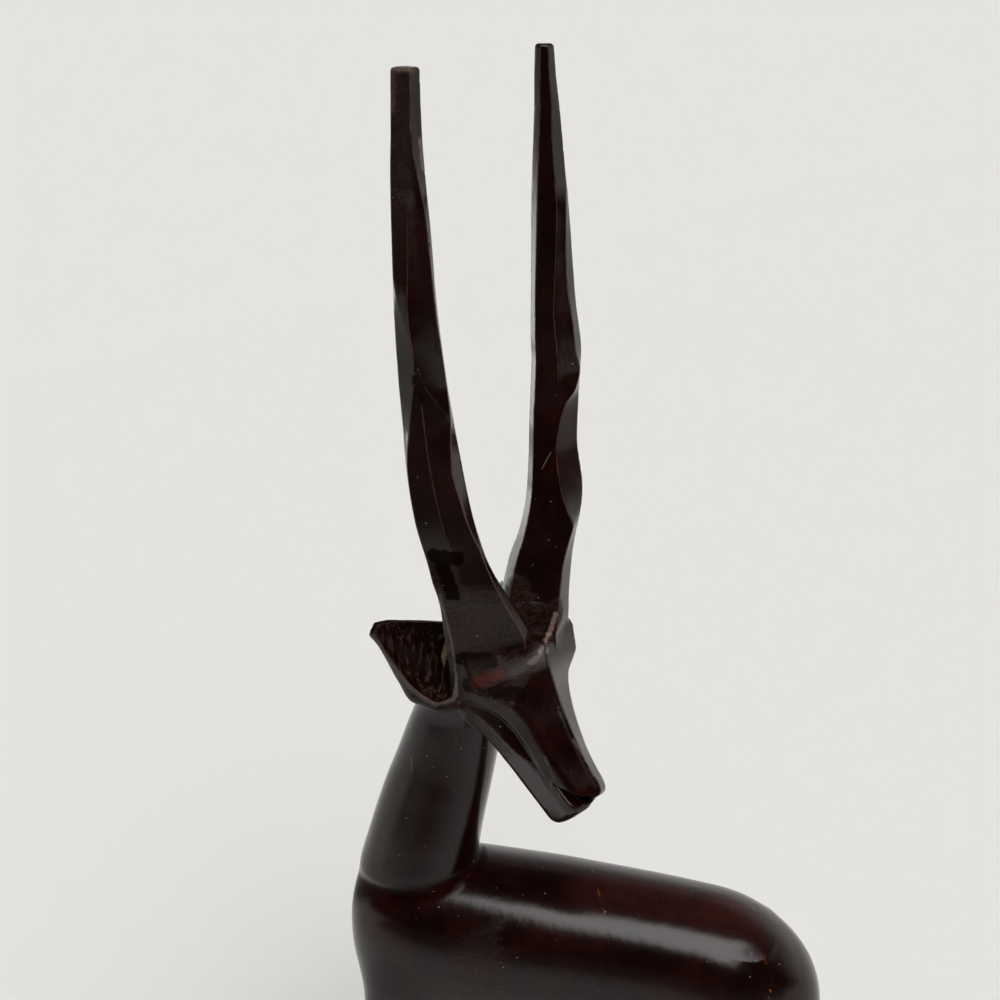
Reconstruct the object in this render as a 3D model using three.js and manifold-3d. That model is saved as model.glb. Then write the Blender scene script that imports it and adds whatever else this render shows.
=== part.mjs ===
// Carved gazelle looking back over its flank, cut from one block of dark
// hardwood together with the low oval plinth that it stands on.
// Millimetres, +Z up. The origin is the middle of the plinth's flat underside,
// the chest is towards -X, the rump towards +X, and the head turns towards -Y.
import * as THREE from 'three';
import { mergeVertices } from 'three/addons/utils/BufferGeometryUtils.js';
import Module from 'manifold-3d';

const wasm = await Module();
wasm.setup();

// Overall sizes
const PLINTH_LENGTH = 134;
const PLINTH_WIDTH = 60;
const PLINTH_HEIGHT = 12;
const PLINTH_EDGE = 1.6;
const PLINTH_TAPER = 0.4;
const CHEST_X = -58.6;
const RUMP_X = 59.2;

// The head: the point between the horns, how far the face is turned from +X
// towards -Y, and how steeply the bridge of the nose points down
const CROWN = new THREE.Vector3(-7.4, -19.6, 187.7);
const HEAD_TURN = THREE.MathUtils.degToRad(40);
const NOSE_PITCH = THREE.MathUtils.degToRad(52);

// How finely each form is faceted
const BODY_SIDES = 28;
const BODY_STEPS = 34;
const NECK_SIDES = 20;
const NECK_STEPS = 22;
const LEG_SIDES = 12;
const LEG_STEPS = 16;
const TAIL_SIDES = 8;
const TAIL_STEPS = 6;
const EAR_SIDES = 12;
const EAR_STEPS = 10;
const PLINTH_SIDES = 56;

// How square the outlines are: 2 is an ellipse, more is squarer
const BODY_SQUARENESS = 2.25;
const NECK_SQUARENESS = 2.2;
const LEG_SQUARENESS = 2.3;
const TAIL_SQUARENESS = 2;
const END_SQUARENESS = 2.3;
const PLINTH_SQUARENESS = 2.3;

// A smooth curve through [position, value] knots that never overshoots them
function curve(knots) {
  const count = knots.length;
  const gaps = [];
  const rises = [];
  for (let i = 0; i < count - 1; i += 1) {
    gaps.push(knots[i + 1][0] - knots[i][0]);
    rises.push((knots[i + 1][1] - knots[i][1]) / gaps[i]);
  }
  const slopes = knots.map((_, i) => {
    if (i === 0 || i === count - 1) return 0;
    const before = rises[i - 1];
    const after = rises[i];
    return before * after <= 0 ? 0 : (2 * before * after) / (before + after);
  });
  slopes[0] = rises[0];
  slopes[count - 1] = rises[count - 2];
  return (position) => {
    if (position <= knots[0][0]) return knots[0][1];
    if (position >= knots[count - 1][0]) return knots[count - 1][1];
    let i = 0;
    while (position > knots[i + 1][0]) i += 1;
    const u = (position - knots[i][0]) / gaps[i];
    const value = knots[i][1] * (1 + 2 * u) * (1 - u) ** 2
      + knots[i + 1][1] * u * u * (3 - 2 * u)
      + gaps[i] * slopes[i] * u * (1 - u) ** 2
      - gaps[i] * slopes[i + 1] * u * u * (1 - u);
    return value;
  };
}

// Splits a table of rows [position, a, b, c, ...] into one curve a column
function columns(rows) {
  return rows[0].slice(1).map((_, column) => curve(rows.map((row) => [row[0], row[column + 1]])));
}

// Evenly spaced positions from one end to the other
function spread(from, to, steps) {
  return Array.from({ length: steps + 1 }, (_, i) => from + ((to - from) * i) / steps);
}

// Closes a stack of rings, which all have the same number of points
function loft(rings) {
  const sides = rings[0].length;
  const points = rings.flat();
  const middle = (ring) => {
    const sum = ring.reduce((total, point) => total.add(point), new THREE.Vector3());
    return sum.divideScalar(sides);
  };
  points.push(middle(rings[0]), middle(rings[rings.length - 1]));
  const first = points.length - 2;
  const last = points.length - 1;
  const top = (rings.length - 1) * sides;
  const faces = [];
  for (let k = 0; k < sides; k += 1) {
    const next = (k + 1) % sides;
    faces.push(first, next, k, last, top + k, top + next);
    for (let i = 0; i < rings.length - 1; i += 1) {
      const low = i * sides;
      const high = low + sides;
      faces.push(low + k, low + next, high + k, low + next, high + next, high + k);
    }
  }
  const geometry = new THREE.BufferGeometry().setFromPoints(points);
  geometry.setIndex(faces);
  return geometry;
}

// Turns a closed geometry into a solid with its faces pointing out
function solid(geometry) {
  const bare = geometry.clone();
  bare.deleteAttribute('normal');
  bare.deleteAttribute('uv');
  const merged = mergeVertices(bare, 1e-4);
  const at = merged.getAttribute('position').array;
  const index = Array.from(merged.getIndex().array);
  let volume = 0;
  const corners = [new THREE.Vector3(), new THREE.Vector3(), new THREE.Vector3()];
  for (let i = 0; i < index.length; i += 3) {
    corners.forEach((corner, k) => corner.fromArray(at, index[i + k] * 3));
    volume += corners[0].dot(corners[1].cross(corners[2]));
  }
  if (volume < 0) index.reverse();
  return new wasm.Manifold(new wasm.Mesh({
    numProp: 3,
    vertProperties: new Float32Array(at),
    triVerts: new Uint32Array(index),
  }));
}

// One point of a rounded outline: power 2 is an ellipse, more is squarer
function rounded(angle, across, up, power) {
  const bend = (value) => Math.sign(value) * Math.abs(value) ** (2 / power);
  return [across * bend(Math.cos(angle)), up * bend(Math.sin(angle))];
}

// A rounded end: 1 away from the end, falling to 0 at it
function endRound(distance, reach, power) {
  if (distance >= reach) return 1;
  const u = Math.min(1, 1 - distance / reach);
  return Math.max(0, 1 - u ** power) ** (1 / power);
}

// The body: centre height, height above it, depth below it, half width
const bodyTable = columns([
  [-59, 101.5, 19, 28, 17],
  [-44, 100, 21, 29, 17.5],
  [-30, 99.2, 21.3, 25, 18.5],
  [-12, 98.8, 20.6, 20, 19],
  [8, 97.4, 20.4, 18, 18.4],
  [26, 95.2, 20.6, 16.8, 18.2],
  [40, 92, 22.2, 19, 19.4],
  [59, 87, 24, 15, 19],
]);
const CHEST_ROUNDING = 22;
const RUMP_ROUNDING = 34;
const BODY_END_MARGIN = 0.15;

function bodySolid() {
  const [centre, above, below, half] = bodyTable;
  const rings = [];
  const middle = (CHEST_X + RUMP_X) / 2;
  const reachX = (RUMP_X - CHEST_X) / 2 - BODY_END_MARGIN;
  for (let i = 0; i <= BODY_STEPS; i += 1) {
    const x = middle - reachX * Math.cos((Math.PI * i) / BODY_STEPS);
    const chest = endRound(x - CHEST_X, CHEST_ROUNDING, END_SQUARENESS);
    const rump = endRound(RUMP_X - x, RUMP_ROUNDING, END_SQUARENESS);
    const fullness = chest * rump;
    const ring = [];
    for (let k = 0; k < BODY_SIDES; k += 1) {
      const angle = (2 * Math.PI * k) / BODY_SIDES;
      const reach = Math.sin(angle) > 0 ? above(x) : below(x);
      const [y, z] = rounded(angle, half(x) * fullness, reach * fullness, BODY_SQUARENESS);
      ring.push(new THREE.Vector3(x, y, centre(x) + z));
    }
    rings.push(ring);
  }
  return solid(loft(rings));
}

// A limb as level slices: height, centre x, centre y, half depth in X, half width in Y
function limbSolid(rows, steps, sides, power, mirror = 1) {
  const [centreX, centreY, depth, width] = columns(rows);
  const rings = spread(rows[0][0], rows[rows.length - 1][0], steps).map((z) => {
    const ring = [];
    for (let k = 0; k < sides; k += 1) {
      const [dx, dy] = rounded((2 * Math.PI * (k + 0.5)) / sides, depth(z), width(z), power);
      ring.push(new THREE.Vector3(centreX(z) + dx, mirror * (centreY(z) + dy), z));
    }
    return ring;
  });
  return solid(loft(rings));
}

const NECK = [
  [92, -42, 0, 14, 8],
  [110, -42, 0, 15, 9.5],
  [114.5, -41.8, 0, 14.8, 11],
  [118.5, -41.4, 0, 14.6, 13.2],
  [126, -39.9, 0, 14, 12.6],
  [140, -36.5, 0.6, 13.1, 11.6],
  [148, -34.3, 1, 12.3, 11.2],
  [161, -31, 0.4, 10.8, 10.6],
  [168, -28.2, -2.2, 10.2, 10],
  [176, -24.6, -5, 9, 9],
  [184, -21.5, -7.8, 6.5, 7],
];

const FORELEG = [
  [10.5, -45.6, 9.8, 6.4, 5.4],
  [13, -45.4, 9.8, 6.2, 5.2],
  [18, -44.6, 9.7, 4.8, 4.4],
  [22, -44.4, 9.7, 4.5, 4.2],
  [36, -44.4, 9.6, 4.1, 3.9],
  [42, -44.9, 9.6, 4.9, 4.5],
  [47, -45.1, 9.5, 5.3, 4.7],
  [54, -44.8, 9.4, 5.2, 4.8],
  [66, -45, 9.4, 7, 6.2],
  [78, -44.6, 9, 9.4, 7.6],
  [88, -43.6, 8.6, 9, 7.6],
  [98, -42.6, 8, 6, 5],
  [104, -42, 7.6, 2.4, 2],
];

const HIND_LEG = [
  [10.5, 46.4, 10.2, 6.5, 5.4],
  [13, 46.6, 10.2, 6.3, 5.2],
  [18, 47.6, 10.2, 4.9, 4.4],
  [23, 48.4, 10.2, 4.4, 4.1],
  [34, 50.2, 10.1, 4.3, 4],
  [41, 51.6, 10, 5.6, 4.6],
  [47, 51.4, 10, 6.5, 5],
  [56, 48.4, 9.9, 7.8, 5.8],
  [66, 45.4, 9.8, 10.6, 7.2],
  [76, 43.8, 9.2, 12.6, 8.4],
  [86, 42.4, 8.8, 12.6, 8.6],
  [96, 41, 8, 8.4, 6.4],
  [104, 40, 7.4, 3, 2.4],
];

// Head axes: forward along the nose, to the animal's left, and out of the forehead
const heading = new THREE.Vector3(Math.cos(HEAD_TURN), -Math.sin(HEAD_TURN), 0);
const upward = new THREE.Vector3(0, 0, 1);
const forward = heading.clone().multiplyScalar(Math.cos(NOSE_PITCH))
  .addScaledVector(upward, -Math.sin(NOSE_PITCH));
const outward = heading.clone().multiplyScalar(Math.sin(NOSE_PITCH))
  .addScaledVector(upward, Math.cos(NOSE_PITCH));
const left = new THREE.Vector3().crossVectors(upward, heading);

function headPoint(along, side, out) {
  return CROWN.clone().addScaledVector(forward, along).addScaledVector(left, side)
    .addScaledVector(outward, out);
}

// Half outlines of the head, as seen from the front. Each row is the distance
// along the nose, the bridge, the brow and upper edge of the cheek band, the
// band's lower edge, the floor of the eye groove, the jaw's upper edge, the
// jaw's corner and the underside.
const HEAD = [
  [-16, -15, 5, -16, 7.6, -18.6, 8, -20, 8.5, -22, 6, -25, -27],
  [-10, -8.5, 8.5, -9.5, 12.2, -15.4, 12.4, -17.4, 12.4, -20, 7.6, -26, -29.5],
  [-5, -4, 13.6, -4.2, 14.2, -13.4, 13.8, -16.4, 13.9, -19, 8.4, -26.2, -30.5],
  [-1, -0.2, 14.5, -6.4, 14.6, -14.2, 13.8, -16.8, 14.4, -18.8, 9.2, -26.4, -30.4],
  [1.2, -0.6, 14.3, -7.2, 14.2, -15, 13, -17, 14.2, -18.8, 9.6, -26.4, -29.8],
  [3.2, -0.9, 13.1, -8.4, 13.5, -14.6, 12.2, -16.9, 13.7, -18.8, 9.8, -26.2, -29.2],
  [5, -1.2, 11.4, -9.1, 12.3, -13.6, 11, -16, 12.8, -18.3, 9.9, -26.1, -28.5],
  [7, -1.6, 9.6, -8.5, 10.8, -12.6, 9.4, -15, 11.6, -17.5, 9.2, -25.4, -27.5],
  [10, -2.3, 7.8, -7.6, 9, -11.8, 7.6, -14.2, 10.1, -16.8, 8.3, -24.6, -26.4],
  [14, -2.8, 6.5, -7.2, 7.6, -11.3, 6.2, -13.7, 8.5, -16.3, 7.1, -23.9, -25.3],
  [18, -3, 6, -7.3, 6.9, -11, 5.8, -13, 7.4, -14.9, 6.2, -23.2, -24.4],
  [21, -2.9, 5.7, -7.3, 6.4, -10.8, 6.1, -11.9, 6.7, -13.1, 5.7, -22.5, -23.7],
  [24.5, -2.75, 5.2, -6.7, 6, -10.4, 6, -11.2, 6.2, -12.2, 5.2, -21.7, -22.8],
  [28, -2.35, 4.8, -5.8, 5.6, -9.6, 5.6, -10.3, 5.8, -11.4, 4.7, -20.8, -21.8],
  [31, -1.75, 4.4, -4.9, 5.3, -8.6, 5.3, -9.4, 5.4, -10.6, 4.3, -20, -21],
  [33, -1.9, 3.7, -4.8, 4.8, -8.2, 4.9, -9.2, 5, -10.4, 4, -19.2, -20.2],
  [34.6, -2.6, 2.8, -5, 4, -8, 4.2, -9.2, 4.4, -10.4, 3.4, -18.4, -19.2],
  [36, -4.6, 1.8, -6, 2.9, -8.4, 3.2, -9.6, 3.4, -10.8, 2.4, -17.2, -18],
];

function headSolid() {
  const rings = HEAD.map(([n, ridge, ...corners]) => {
    const under = corners.pop();
    const flank = [];
    for (let i = 0; i < corners.length; i += 2) flank.push([corners[i], corners[i + 1]]);
    const near = flank.map(([w, t]) => headPoint(n, w, t));
    const far = flank.map(([w, t]) => headPoint(n, -w, t)).reverse();
    return [headPoint(n, 0, ridge), ...near, headPoint(n, 0, under), ...far];
  });
  return solid(loft(rings));
}

// A prism across the head, from a side profile of [along, out] corners
function headPrism(profile, from, to) {
  return solid(loft([from, to].map((side) => profile.map(([n, t]) => headPoint(n, side, t)))));
}

// Horns by height: distance out from the middle, distance behind the crown
// and half thickness. They were cut by hand, so they differ a little.
const RIGHT_HORN = [
  [174, 6.4, 14.5, 4],
  [181, 6.14, 11.41, 8.6],
  [186, 6.54, 10.81, 9],
  [192, 8.22, 10.48, 8.7],
  [196, 9.57, 10.71, 8.2],
  [200, 10.92, 11.34, 7.6],
  [205, 12.7, 12.4, 6.9],
  [210, 14.1, 13.3, 6.4],
  [220, 16.3, 14.8, 6.2],
  [230, 17.3, 16.2, 5.9],
  [240, 17.9, 17.3, 5.35],
  [250, 18.6, 18.2, 4.95],
  [265, 19, 19.6, 4.4],
  [280, 18.8, 20.8, 3.95],
  [290, 18.8, 21.5, 3.5],
  [300, 18.6, 22, 3.05],
  [311, 18.2, 22.5, 2.85],
];
const LEFT_HORN = [
  [174, 5.8, 14.5, 4],
  [181, 6.43, 12.56, 7.5],
  [186, 6.19, 11.91, 7.8],
  [192, 6.89, 11.86, 8],
  [196, 7.73, 12.25, 7.7],
  [200, 8.84, 12.64, 7.4],
  [205, 10.34, 13.04, 7],
  [210, 12.24, 13.11, 6.5],
  [215, 14, 13.5, 6.4],
  [220, 15.17, 14.29, 6.2],
  [230, 16.12, 16.11, 5.4],
  [240, 17.42, 17.2, 5.4],
  [250, 18.6, 18.2, 5.55],
  [260, 18.5, 19.2, 4.95],
  [270, 18.6, 20, 4.5],
  [280, 18.7, 20.8, 4.1],
  [290, 18.7, 21.5, 3.45],
  [300, 18.6, 22, 2.8],
  [308, 18.3, 22.4, 2.3],
  [314, 18.2, 22.6, 2],
];

// A horn is carved in long flats, and these are the edges where they meet on its
// front: the height, then for each edge its place from 1 at the right outline to -1
// at the left, and how far forward it stands. 0 forward is an edge that has run out.
const RIGHT_FLATS = [
  [174, 0.6, 0.3, 0.2, 0, -0.2, 0, -0.7, 0.3],
  [181, 0.75, 0.36, 0.3, 0, -0.2, 0, -0.76, 0.34],
  [186, 0.85, 0.43, 0.3, 0, -0.2, 0, -0.8, 0.38],
  [192, 0.88, 0.46, 0.3, 0, -0.2, 0, -0.82, 0.42],
  [196, 0.88, 0.52, 0.3, 0, -0.2, 0, -0.86, 0.48],
  [202, 0.92, 0.67, 0.3, 0, 0, 0.7, -0.94, 0.58],
  [205, 0.95, 0.66, 0.35, 0, 0, 0.76, -0.96, 0.6],
  [209, 0.96, 0.64, 0.4, 0, 0, 0.82, -0.96, 0.6],
  [212.6, 0.95, 0.65, 0.4, 0, 0, 0.88, -0.96, 0.62],
  [214, 0.92, 0.66, 0.4, 0, 0, 0.91, -0.96, 0.64],
  [218, 0.84, 0.72, 0.4, 0, -0.02, 0.95, -0.96, 0.66],
  [224, 0.75, 0.78, 0.3, 0, -0.05, 0.98, -0.96, 0.66],
  [230, 0.66, 0.82, 0.3, 0, -0.09, 0.98, -0.94, 0.67],
  [235, 0.76, 0.76, 0.4, 0, -0.11, 0.97, -0.86, 0.67],
  [239, 0.87, 0.68, 0.6, 0, -0.12, 0.96, -0.74, 0.68],
  [242, 0.94, 0.6, 0.84, 0.67, -0.12, 0.94, -0.64, 0.73],
  [244.5, 0.97, 0.51, 0.56, 0.74, -0.12, 0.93, -0.54, 0.74],
  [248, 0.98, 0.44, 0.12, 0.88, -0.12, 0, -0.38, 0.84],
  [253, 0.98, 0.45, -0.15, 0.93, -0.2, 0, -0.27, 0.9],
  [257, 0.97, 0.49, -0.28, 0.95, -0.29, 0, -0.32, 0],
  [262, 0.95, 0.53, -0.34, 0.92, -0.4, 0, -0.6, 0.74],
  [266, 0.94, 0.56, -0.33, 0.87, -0.4, 0, -0.84, 0.56],
  [271, 0.9, 0.6, -0.26, 0.82, -0.4, 0, -0.96, 0.56],
  [277, 0.86, 0.66, -0.18, 0.82, -0.5, 0, -0.97, 0.58],
  [284, 0.82, 0.7, -0.11, 0.82, -0.5, 0, -0.97, 0.6],
  [288, 0.68, 0.76, -0.1, 0, -0.5, 0, -0.97, 0.6],
  [292, 0.52, 0.82, 0, 0, -0.5, 0, -0.97, 0.6],
  [297, 0.38, 0.88, 0, 0, -0.5, 0, -0.97, 0.6],
  [302, 0.31, 0.9, 0, 0, -0.5, 0, -0.97, 0.6],
  [311, 0.38, 0.88, 0, 0, -0.5, 0, -0.97, 0.6],
];
const LEFT_FLATS = [
  [174, 0.6, 1.05, 0, 0, -0.75, 0.9],
  [181, 0.65, 1.1, 0, 0, -0.77, 1.02],
  [186, 0.69, 1, 0, 0, -0.78, 0.92],
  [192, 0.69, 0.88, 0, 0, -0.78, 0.79],
  [197, 0.69, 0.88, 0, 0, -0.77, 0.79],
  [202, 0.69, 0.88, 0, 0, -0.77, 0.78],
  [207, 0.73, 0.88, 0, 0, -0.78, 0.77],
  [211.5, 0.79, 0.86, 0, 0, -0.82, 0.74],
  [215.5, 0.45, 0.84, 0, 0, -0.83, 0.74],
  [220.6, 0.17, 0.82, -0.1, 0, -0.83, 0.74],
  [226, 0.11, 0.82, -0.1, 0, -0.83, 0.74],
  [233, 0.22, 0.83, -0.1, 0, -0.83, 0.74],
  [238, 0.45, 0.84, 0.2, 0, -0.83, 0.74],
  [241.5, 0.84, 0.78, 0.15, 0.87, -0.83, 0.74],
  [245, 0.96, 0.62, 0.08, 0.92, -0.83, 0.74],
  [250, 0.76, 0.72, 0, 0.95, -0.83, 0.73],
  [257.5, 0.75, 0.74, -0.02, 0.96, -0.82, 0.74],
  [264, 0.65, 0.81, 0.07, 0.97, -0.81, 0.75],
  [270, 0.68, 0.79, 0.17, 0.97, -0.78, 0.77],
  [276, 0.76, 0.72, 0.28, 0.95, -0.74, 0.8],
  [281, 0.86, 0.6, 0.34, 0.95, -0.7, 0.82],
  [286, 0.92, 0, 0.32, 0.95, -0.68, 0.83],
  [291, 0.9, 0, 0.29, 0.96, -0.64, 0.85],
  [297, 0.8, 0, 0.28, 0.96, -0.6, 0.86],
  [304, 0.8, 0, 0.36, 0.94, -0.52, 0.9],
  [314, 0.8, 0, 0.41, 0.92, -0.46, 0.92],
];
const HORN_RIGHT_SIDE = [1, 0.14];
const HORN_LEFT_SIDE = [-1, 0.28];
const HORN_BACK = [[-0.8, -0.55], [0.05, -0.95], [0.86, -0.5]];

// Puts an edge that has run out on the line between its neighbours
function frontEdges(row) {
  const given = [HORN_RIGHT_SIDE];
  for (let i = 1; i < row.length; i += 2) given.push([row[i], row[i + 1]]);
  given.push(HORN_LEFT_SIDE);
  return given.map(([across, front], i) => {
    if (front !== 0) return [across, front];
    let before = i - 1;
    let after = i + 1;
    while (given[before][1] === 0) before -= 1;
    while (given[after][1] === 0) after += 1;
    const [[rightAcross, rightFront], [leftAcross, leftFront]] = [given[before], given[after]];
    const place = THREE.MathUtils.clamp(across, leftAcross, rightAcross);
    const share = (place - leftAcross) / (rightAcross - leftAcross);
    return [place, leftFront + (rightFront - leftFront) * share];
  });
}

// Near the head the levels slope down outwards, to run into the brow
const BROW_SLOPE = 0.8;
const BROW_MIDDLE = 8.5;
const BROW_LEVELS = [181, 198];
const HORN_TURN = THREE.MathUtils.degToRad(10);
const hornRight = new THREE.Vector3(Math.cos(HORN_TURN), Math.sin(HORN_TURN), 0);
const hornFront = new THREE.Vector3(Math.sin(HORN_TURN), -Math.cos(HORN_TURN), 0);

function hornSolid(side, rows, flats) {
  const [outOffset, backOffset, radius] = columns(rows);
  const rings = flats.map((row) => {
    const z = row[0];
    const middle = new THREE.Vector3(CROWN.x, CROWN.y, z)
      .addScaledVector(left, side * outOffset(z))
      .addScaledVector(heading, -backOffset(z));
    const rise = (z - BROW_LEVELS[0]) / (BROW_LEVELS[1] - BROW_LEVELS[0]);
    const slope = BROW_SLOPE * (1 - THREE.MathUtils.clamp(rise, 0, 1));
    return [...frontEdges(row), ...HORN_BACK].map(([across, front]) => {
      const point = middle.clone().addScaledVector(hornRight, across * radius(z))
        .addScaledVector(hornFront, front * radius(z));
      point.z -= slope * (side * point.clone().sub(CROWN).dot(left) - BROW_MIDDLE);
      return point;
    });
  });
  return solid(loft(rings));
}

// Ears: a cupped leaf laid back from the side of the head. These are places
// ahead of the crown, to the side of it and above it.
const EAR_ROOT = [-11, 11.5, -6];
const EAR_TIP = [-37.4, 20, -2.6];
const EAR_FACE = [0.32, 0.8, 0.5];
// Rows along the ear, root to tip: reach upwards, reach downwards, depth of the
// back and depth of the front, first of the whole leaf and then of its hollow
const EAR_LEAF = columns([
  [0, 8.5, 8.6, 6.5, 0.8],
  [0.2, 10, 11.3, 8, 2.4],
  [0.4, 8.2, 11.3, 7.4, 2.8],
  [0.6, 6.5, 8.2, 5.8, 2.2],
  [0.8, 4.6, 4.3, 3.8, 1.4],
  [0.9, 3.6, 2.5, 2.8, 1],
  [1, 2, 1.3, 1.5, 0.6],
]);
const EAR_HOLLOW = columns([
  [0.08, 7.4, 7, 3, 6],
  [0.2, 9.2, 9.2, 6.6, 6],
  [0.4, 7.6, 8.3, 6.4, 6],
  [0.6, 5.9, 6, 4.8, 6],
  [0.8, 4, 3.3, 3, 6],
  [0.95, 2.2, 1.2, 1.2, 6],
]);
const EAR_HOLLOW_LIFT = 1.4;
const EAR_HOLLOW_FROM = 0.08;
const EAR_HOLLOW_TO = 0.95;

function aroundCrown(ahead, side, up) {
  return new THREE.Vector3(0, 0, up).addScaledVector(heading, ahead).addScaledVector(left, side);
}

function earSolid(side) {
  const [root, tip] = [EAR_ROOT, EAR_TIP].map(([a, b, c]) => aroundCrown(a, side * b, c).add(CROWN));
  const axis = tip.clone().sub(root);
  const length = axis.length();
  axis.normalize();
  const face = aroundCrown(EAR_FACE[0], side * EAR_FACE[1], EAR_FACE[2]);
  face.addScaledVector(axis, -face.dot(axis)).normalize();
  const down = new THREE.Vector3().crossVectors(face, axis).multiplyScalar(-side);
  const leaf = ([above, below, back, front], from, to, lift) => {
    const rings = spread(from, to, EAR_STEPS).map((u) => {
      const ring = [];
      for (let k = 0; k < EAR_SIDES; k += 1) {
        const angle = (2 * Math.PI * k) / EAR_SIDES;
        const a = Math.cos(angle) * (Math.cos(angle) > 0 ? below(u) : above(u));
        const b = Math.sin(angle) * (Math.sin(angle) > 0 ? front(u) : back(u));
        ring.push(root.clone().addScaledVector(axis, u * length).addScaledVector(down, a)
          .addScaledVector(face, b + lift));
      }
      return ring;
    });
    return solid(loft(rings));
  };
  const hollow = leaf(EAR_HOLLOW, EAR_HOLLOW_FROM, EAR_HOLLOW_TO, EAR_HOLLOW_LIFT);
  return leaf(EAR_LEAF, 0, 1, 0).subtract(hollow);
}

// The plinth's worn edges: each row is a height and how far the side stands in there
const PLINTH_LEVELS = [
  [0, PLINTH_EDGE * 0.5],
  [PLINTH_EDGE * 0.5, 0],
  [PLINTH_HEIGHT - PLINTH_EDGE, PLINTH_TAPER],
  [PLINTH_HEIGHT - PLINTH_EDGE * 0.3, PLINTH_TAPER + PLINTH_EDGE * 0.4],
  [PLINTH_HEIGHT, PLINTH_TAPER + PLINTH_EDGE],
];

function plinthSolid() {
  const rings = PLINTH_LEVELS.map(([z, inset]) => {
    const ring = [];
    for (let k = 0; k < PLINTH_SIDES; k += 1) {
      const angle = (2 * Math.PI * k) / PLINTH_SIDES;
      const across = PLINTH_LENGTH / 2 - inset;
      const deep = PLINTH_WIDTH / 2 - inset;
      const [x, y] = rounded(angle, across, deep, PLINTH_SQUARENESS);
      ring.push(new THREE.Vector3(x, y, z));
    }
    return ring;
  });
  return solid(loft(rings));
}

// A short tail lying against the rump
const TAIL = [
  [58, 56.8, 0, 1.6, 1.6],
  [63, 57.8, 0, 2.8, 3],
  [73, 58.2, 0, 3.2, 3.4],
  [83, 57, 0, 2.8, 3],
  [90, 54.6, 0, 2, 2],
];

// The mouth, a wedge cut in from each side, and the blunt end of the muzzle
const MOUTH = [[27.8, -8.8], [37, 1], [37, -6.6]];
const MOUTH_INNER = 1.8;
const MOUTH_OUTER = 9;
const MUZZLE_END = [
  [32, 2.5],
  [33.4, -1.4],
  [33.2, -7.4],
  [34, -10.4],
  [34.6, -14],
  [35, -17.5],
  [34.4, -20.4],
  [32.4, -24],
  [48, -24],
  [48, 2.5],
];
const MUZZLE_REACH = 12;

// The flat cut across the right brow, at the foot of the horn: a place on it and the
// way it faces, as shares along the nose, to the left and out of the forehead
const BROW_POINT = [1.13, -3.13, -2.63];
const BROW_FACING = [-0.112, -0.505, 0.856];

function figureSolid() {
  const cuts = [
    headPrism(MOUTH, MOUTH_INNER, MOUTH_OUTER),
    headPrism(MOUTH, -MOUTH_OUTER, -MOUTH_INNER),
    headPrism(MUZZLE_END, -MUZZLE_REACH, MUZZLE_REACH),
  ];
  const facing = headPoint(...BROW_FACING).sub(CROWN);
  const browOffset = -facing.dot(headPoint(...BROW_POINT));
  const skull = headSolid().trimByPlane(facing.clone().negate().toArray(), browOffset);
  const head = cuts.reduce((rest, cut) => rest.subtract(cut), skull);
  const pieces = [
    bodySolid(),
    limbSolid(NECK, NECK_STEPS, NECK_SIDES, NECK_SQUARENESS),
    hornSolid(-1, RIGHT_HORN, RIGHT_FLATS),
    hornSolid(1, LEFT_HORN, LEFT_FLATS),
    earSolid(1),
    earSolid(-1),
    limbSolid(TAIL, TAIL_STEPS, TAIL_SIDES, TAIL_SQUARENESS),
    plinthSolid(),
  ];
  for (const mirror of [1, -1]) {
    pieces.push(limbSolid(FORELEG, LEG_STEPS, LEG_SIDES, LEG_SQUARENESS, mirror));
    pieces.push(limbSolid(HIND_LEG, LEG_STEPS, LEG_SIDES, LEG_SQUARENESS, mirror));
  }
  return pieces.reduce((whole, piece) => whole.add(piece), head);
}

// Turns a solid back into a mesh with its own material
function mesh(name, body, material) {
  const { vertProperties, triVerts } = body.getMesh();
  const geometry = new THREE.BufferGeometry();
  geometry.setAttribute('position', new THREE.BufferAttribute(new Float32Array(vertProperties), 3));
  geometry.setIndex(new THREE.BufferAttribute(new Uint32Array(triVerts), 1));
  geometry.computeVertexNormals();
  const result = new THREE.Mesh(geometry, material);
  result.name = name;
  return result;
}

const hardwood = new THREE.MeshStandardMaterial({ color: 0x2a1210, roughness: 0.32, metalness: 0 });

const gazelle = new THREE.Group();
gazelle.add(mesh('gazelle_figure', figureSolid(), hardwood));

export default gazelle;
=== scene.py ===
"""A carved hardwood gazelle looking back over its flank, on a low oval plinth.

The figure is one smooth field in millimetres, positive outside the wood. It is made
of the same named forms and sizes as the CAD part, then turned into one mesh.
"""

import math

import bpy
import numpy as np
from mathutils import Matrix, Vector


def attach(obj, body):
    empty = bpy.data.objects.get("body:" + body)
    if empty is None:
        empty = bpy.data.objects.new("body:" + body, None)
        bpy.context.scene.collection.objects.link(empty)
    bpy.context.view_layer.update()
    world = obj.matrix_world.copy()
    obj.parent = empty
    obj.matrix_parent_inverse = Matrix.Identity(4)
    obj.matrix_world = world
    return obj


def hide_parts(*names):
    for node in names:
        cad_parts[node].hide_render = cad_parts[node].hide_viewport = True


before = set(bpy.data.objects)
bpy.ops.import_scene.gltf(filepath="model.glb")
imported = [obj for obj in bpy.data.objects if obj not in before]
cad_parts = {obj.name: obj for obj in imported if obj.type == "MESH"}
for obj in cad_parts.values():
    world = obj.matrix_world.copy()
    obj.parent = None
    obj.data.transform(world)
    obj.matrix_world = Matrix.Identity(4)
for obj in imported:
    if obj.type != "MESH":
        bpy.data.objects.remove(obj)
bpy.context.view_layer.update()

MM = 0.001

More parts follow.
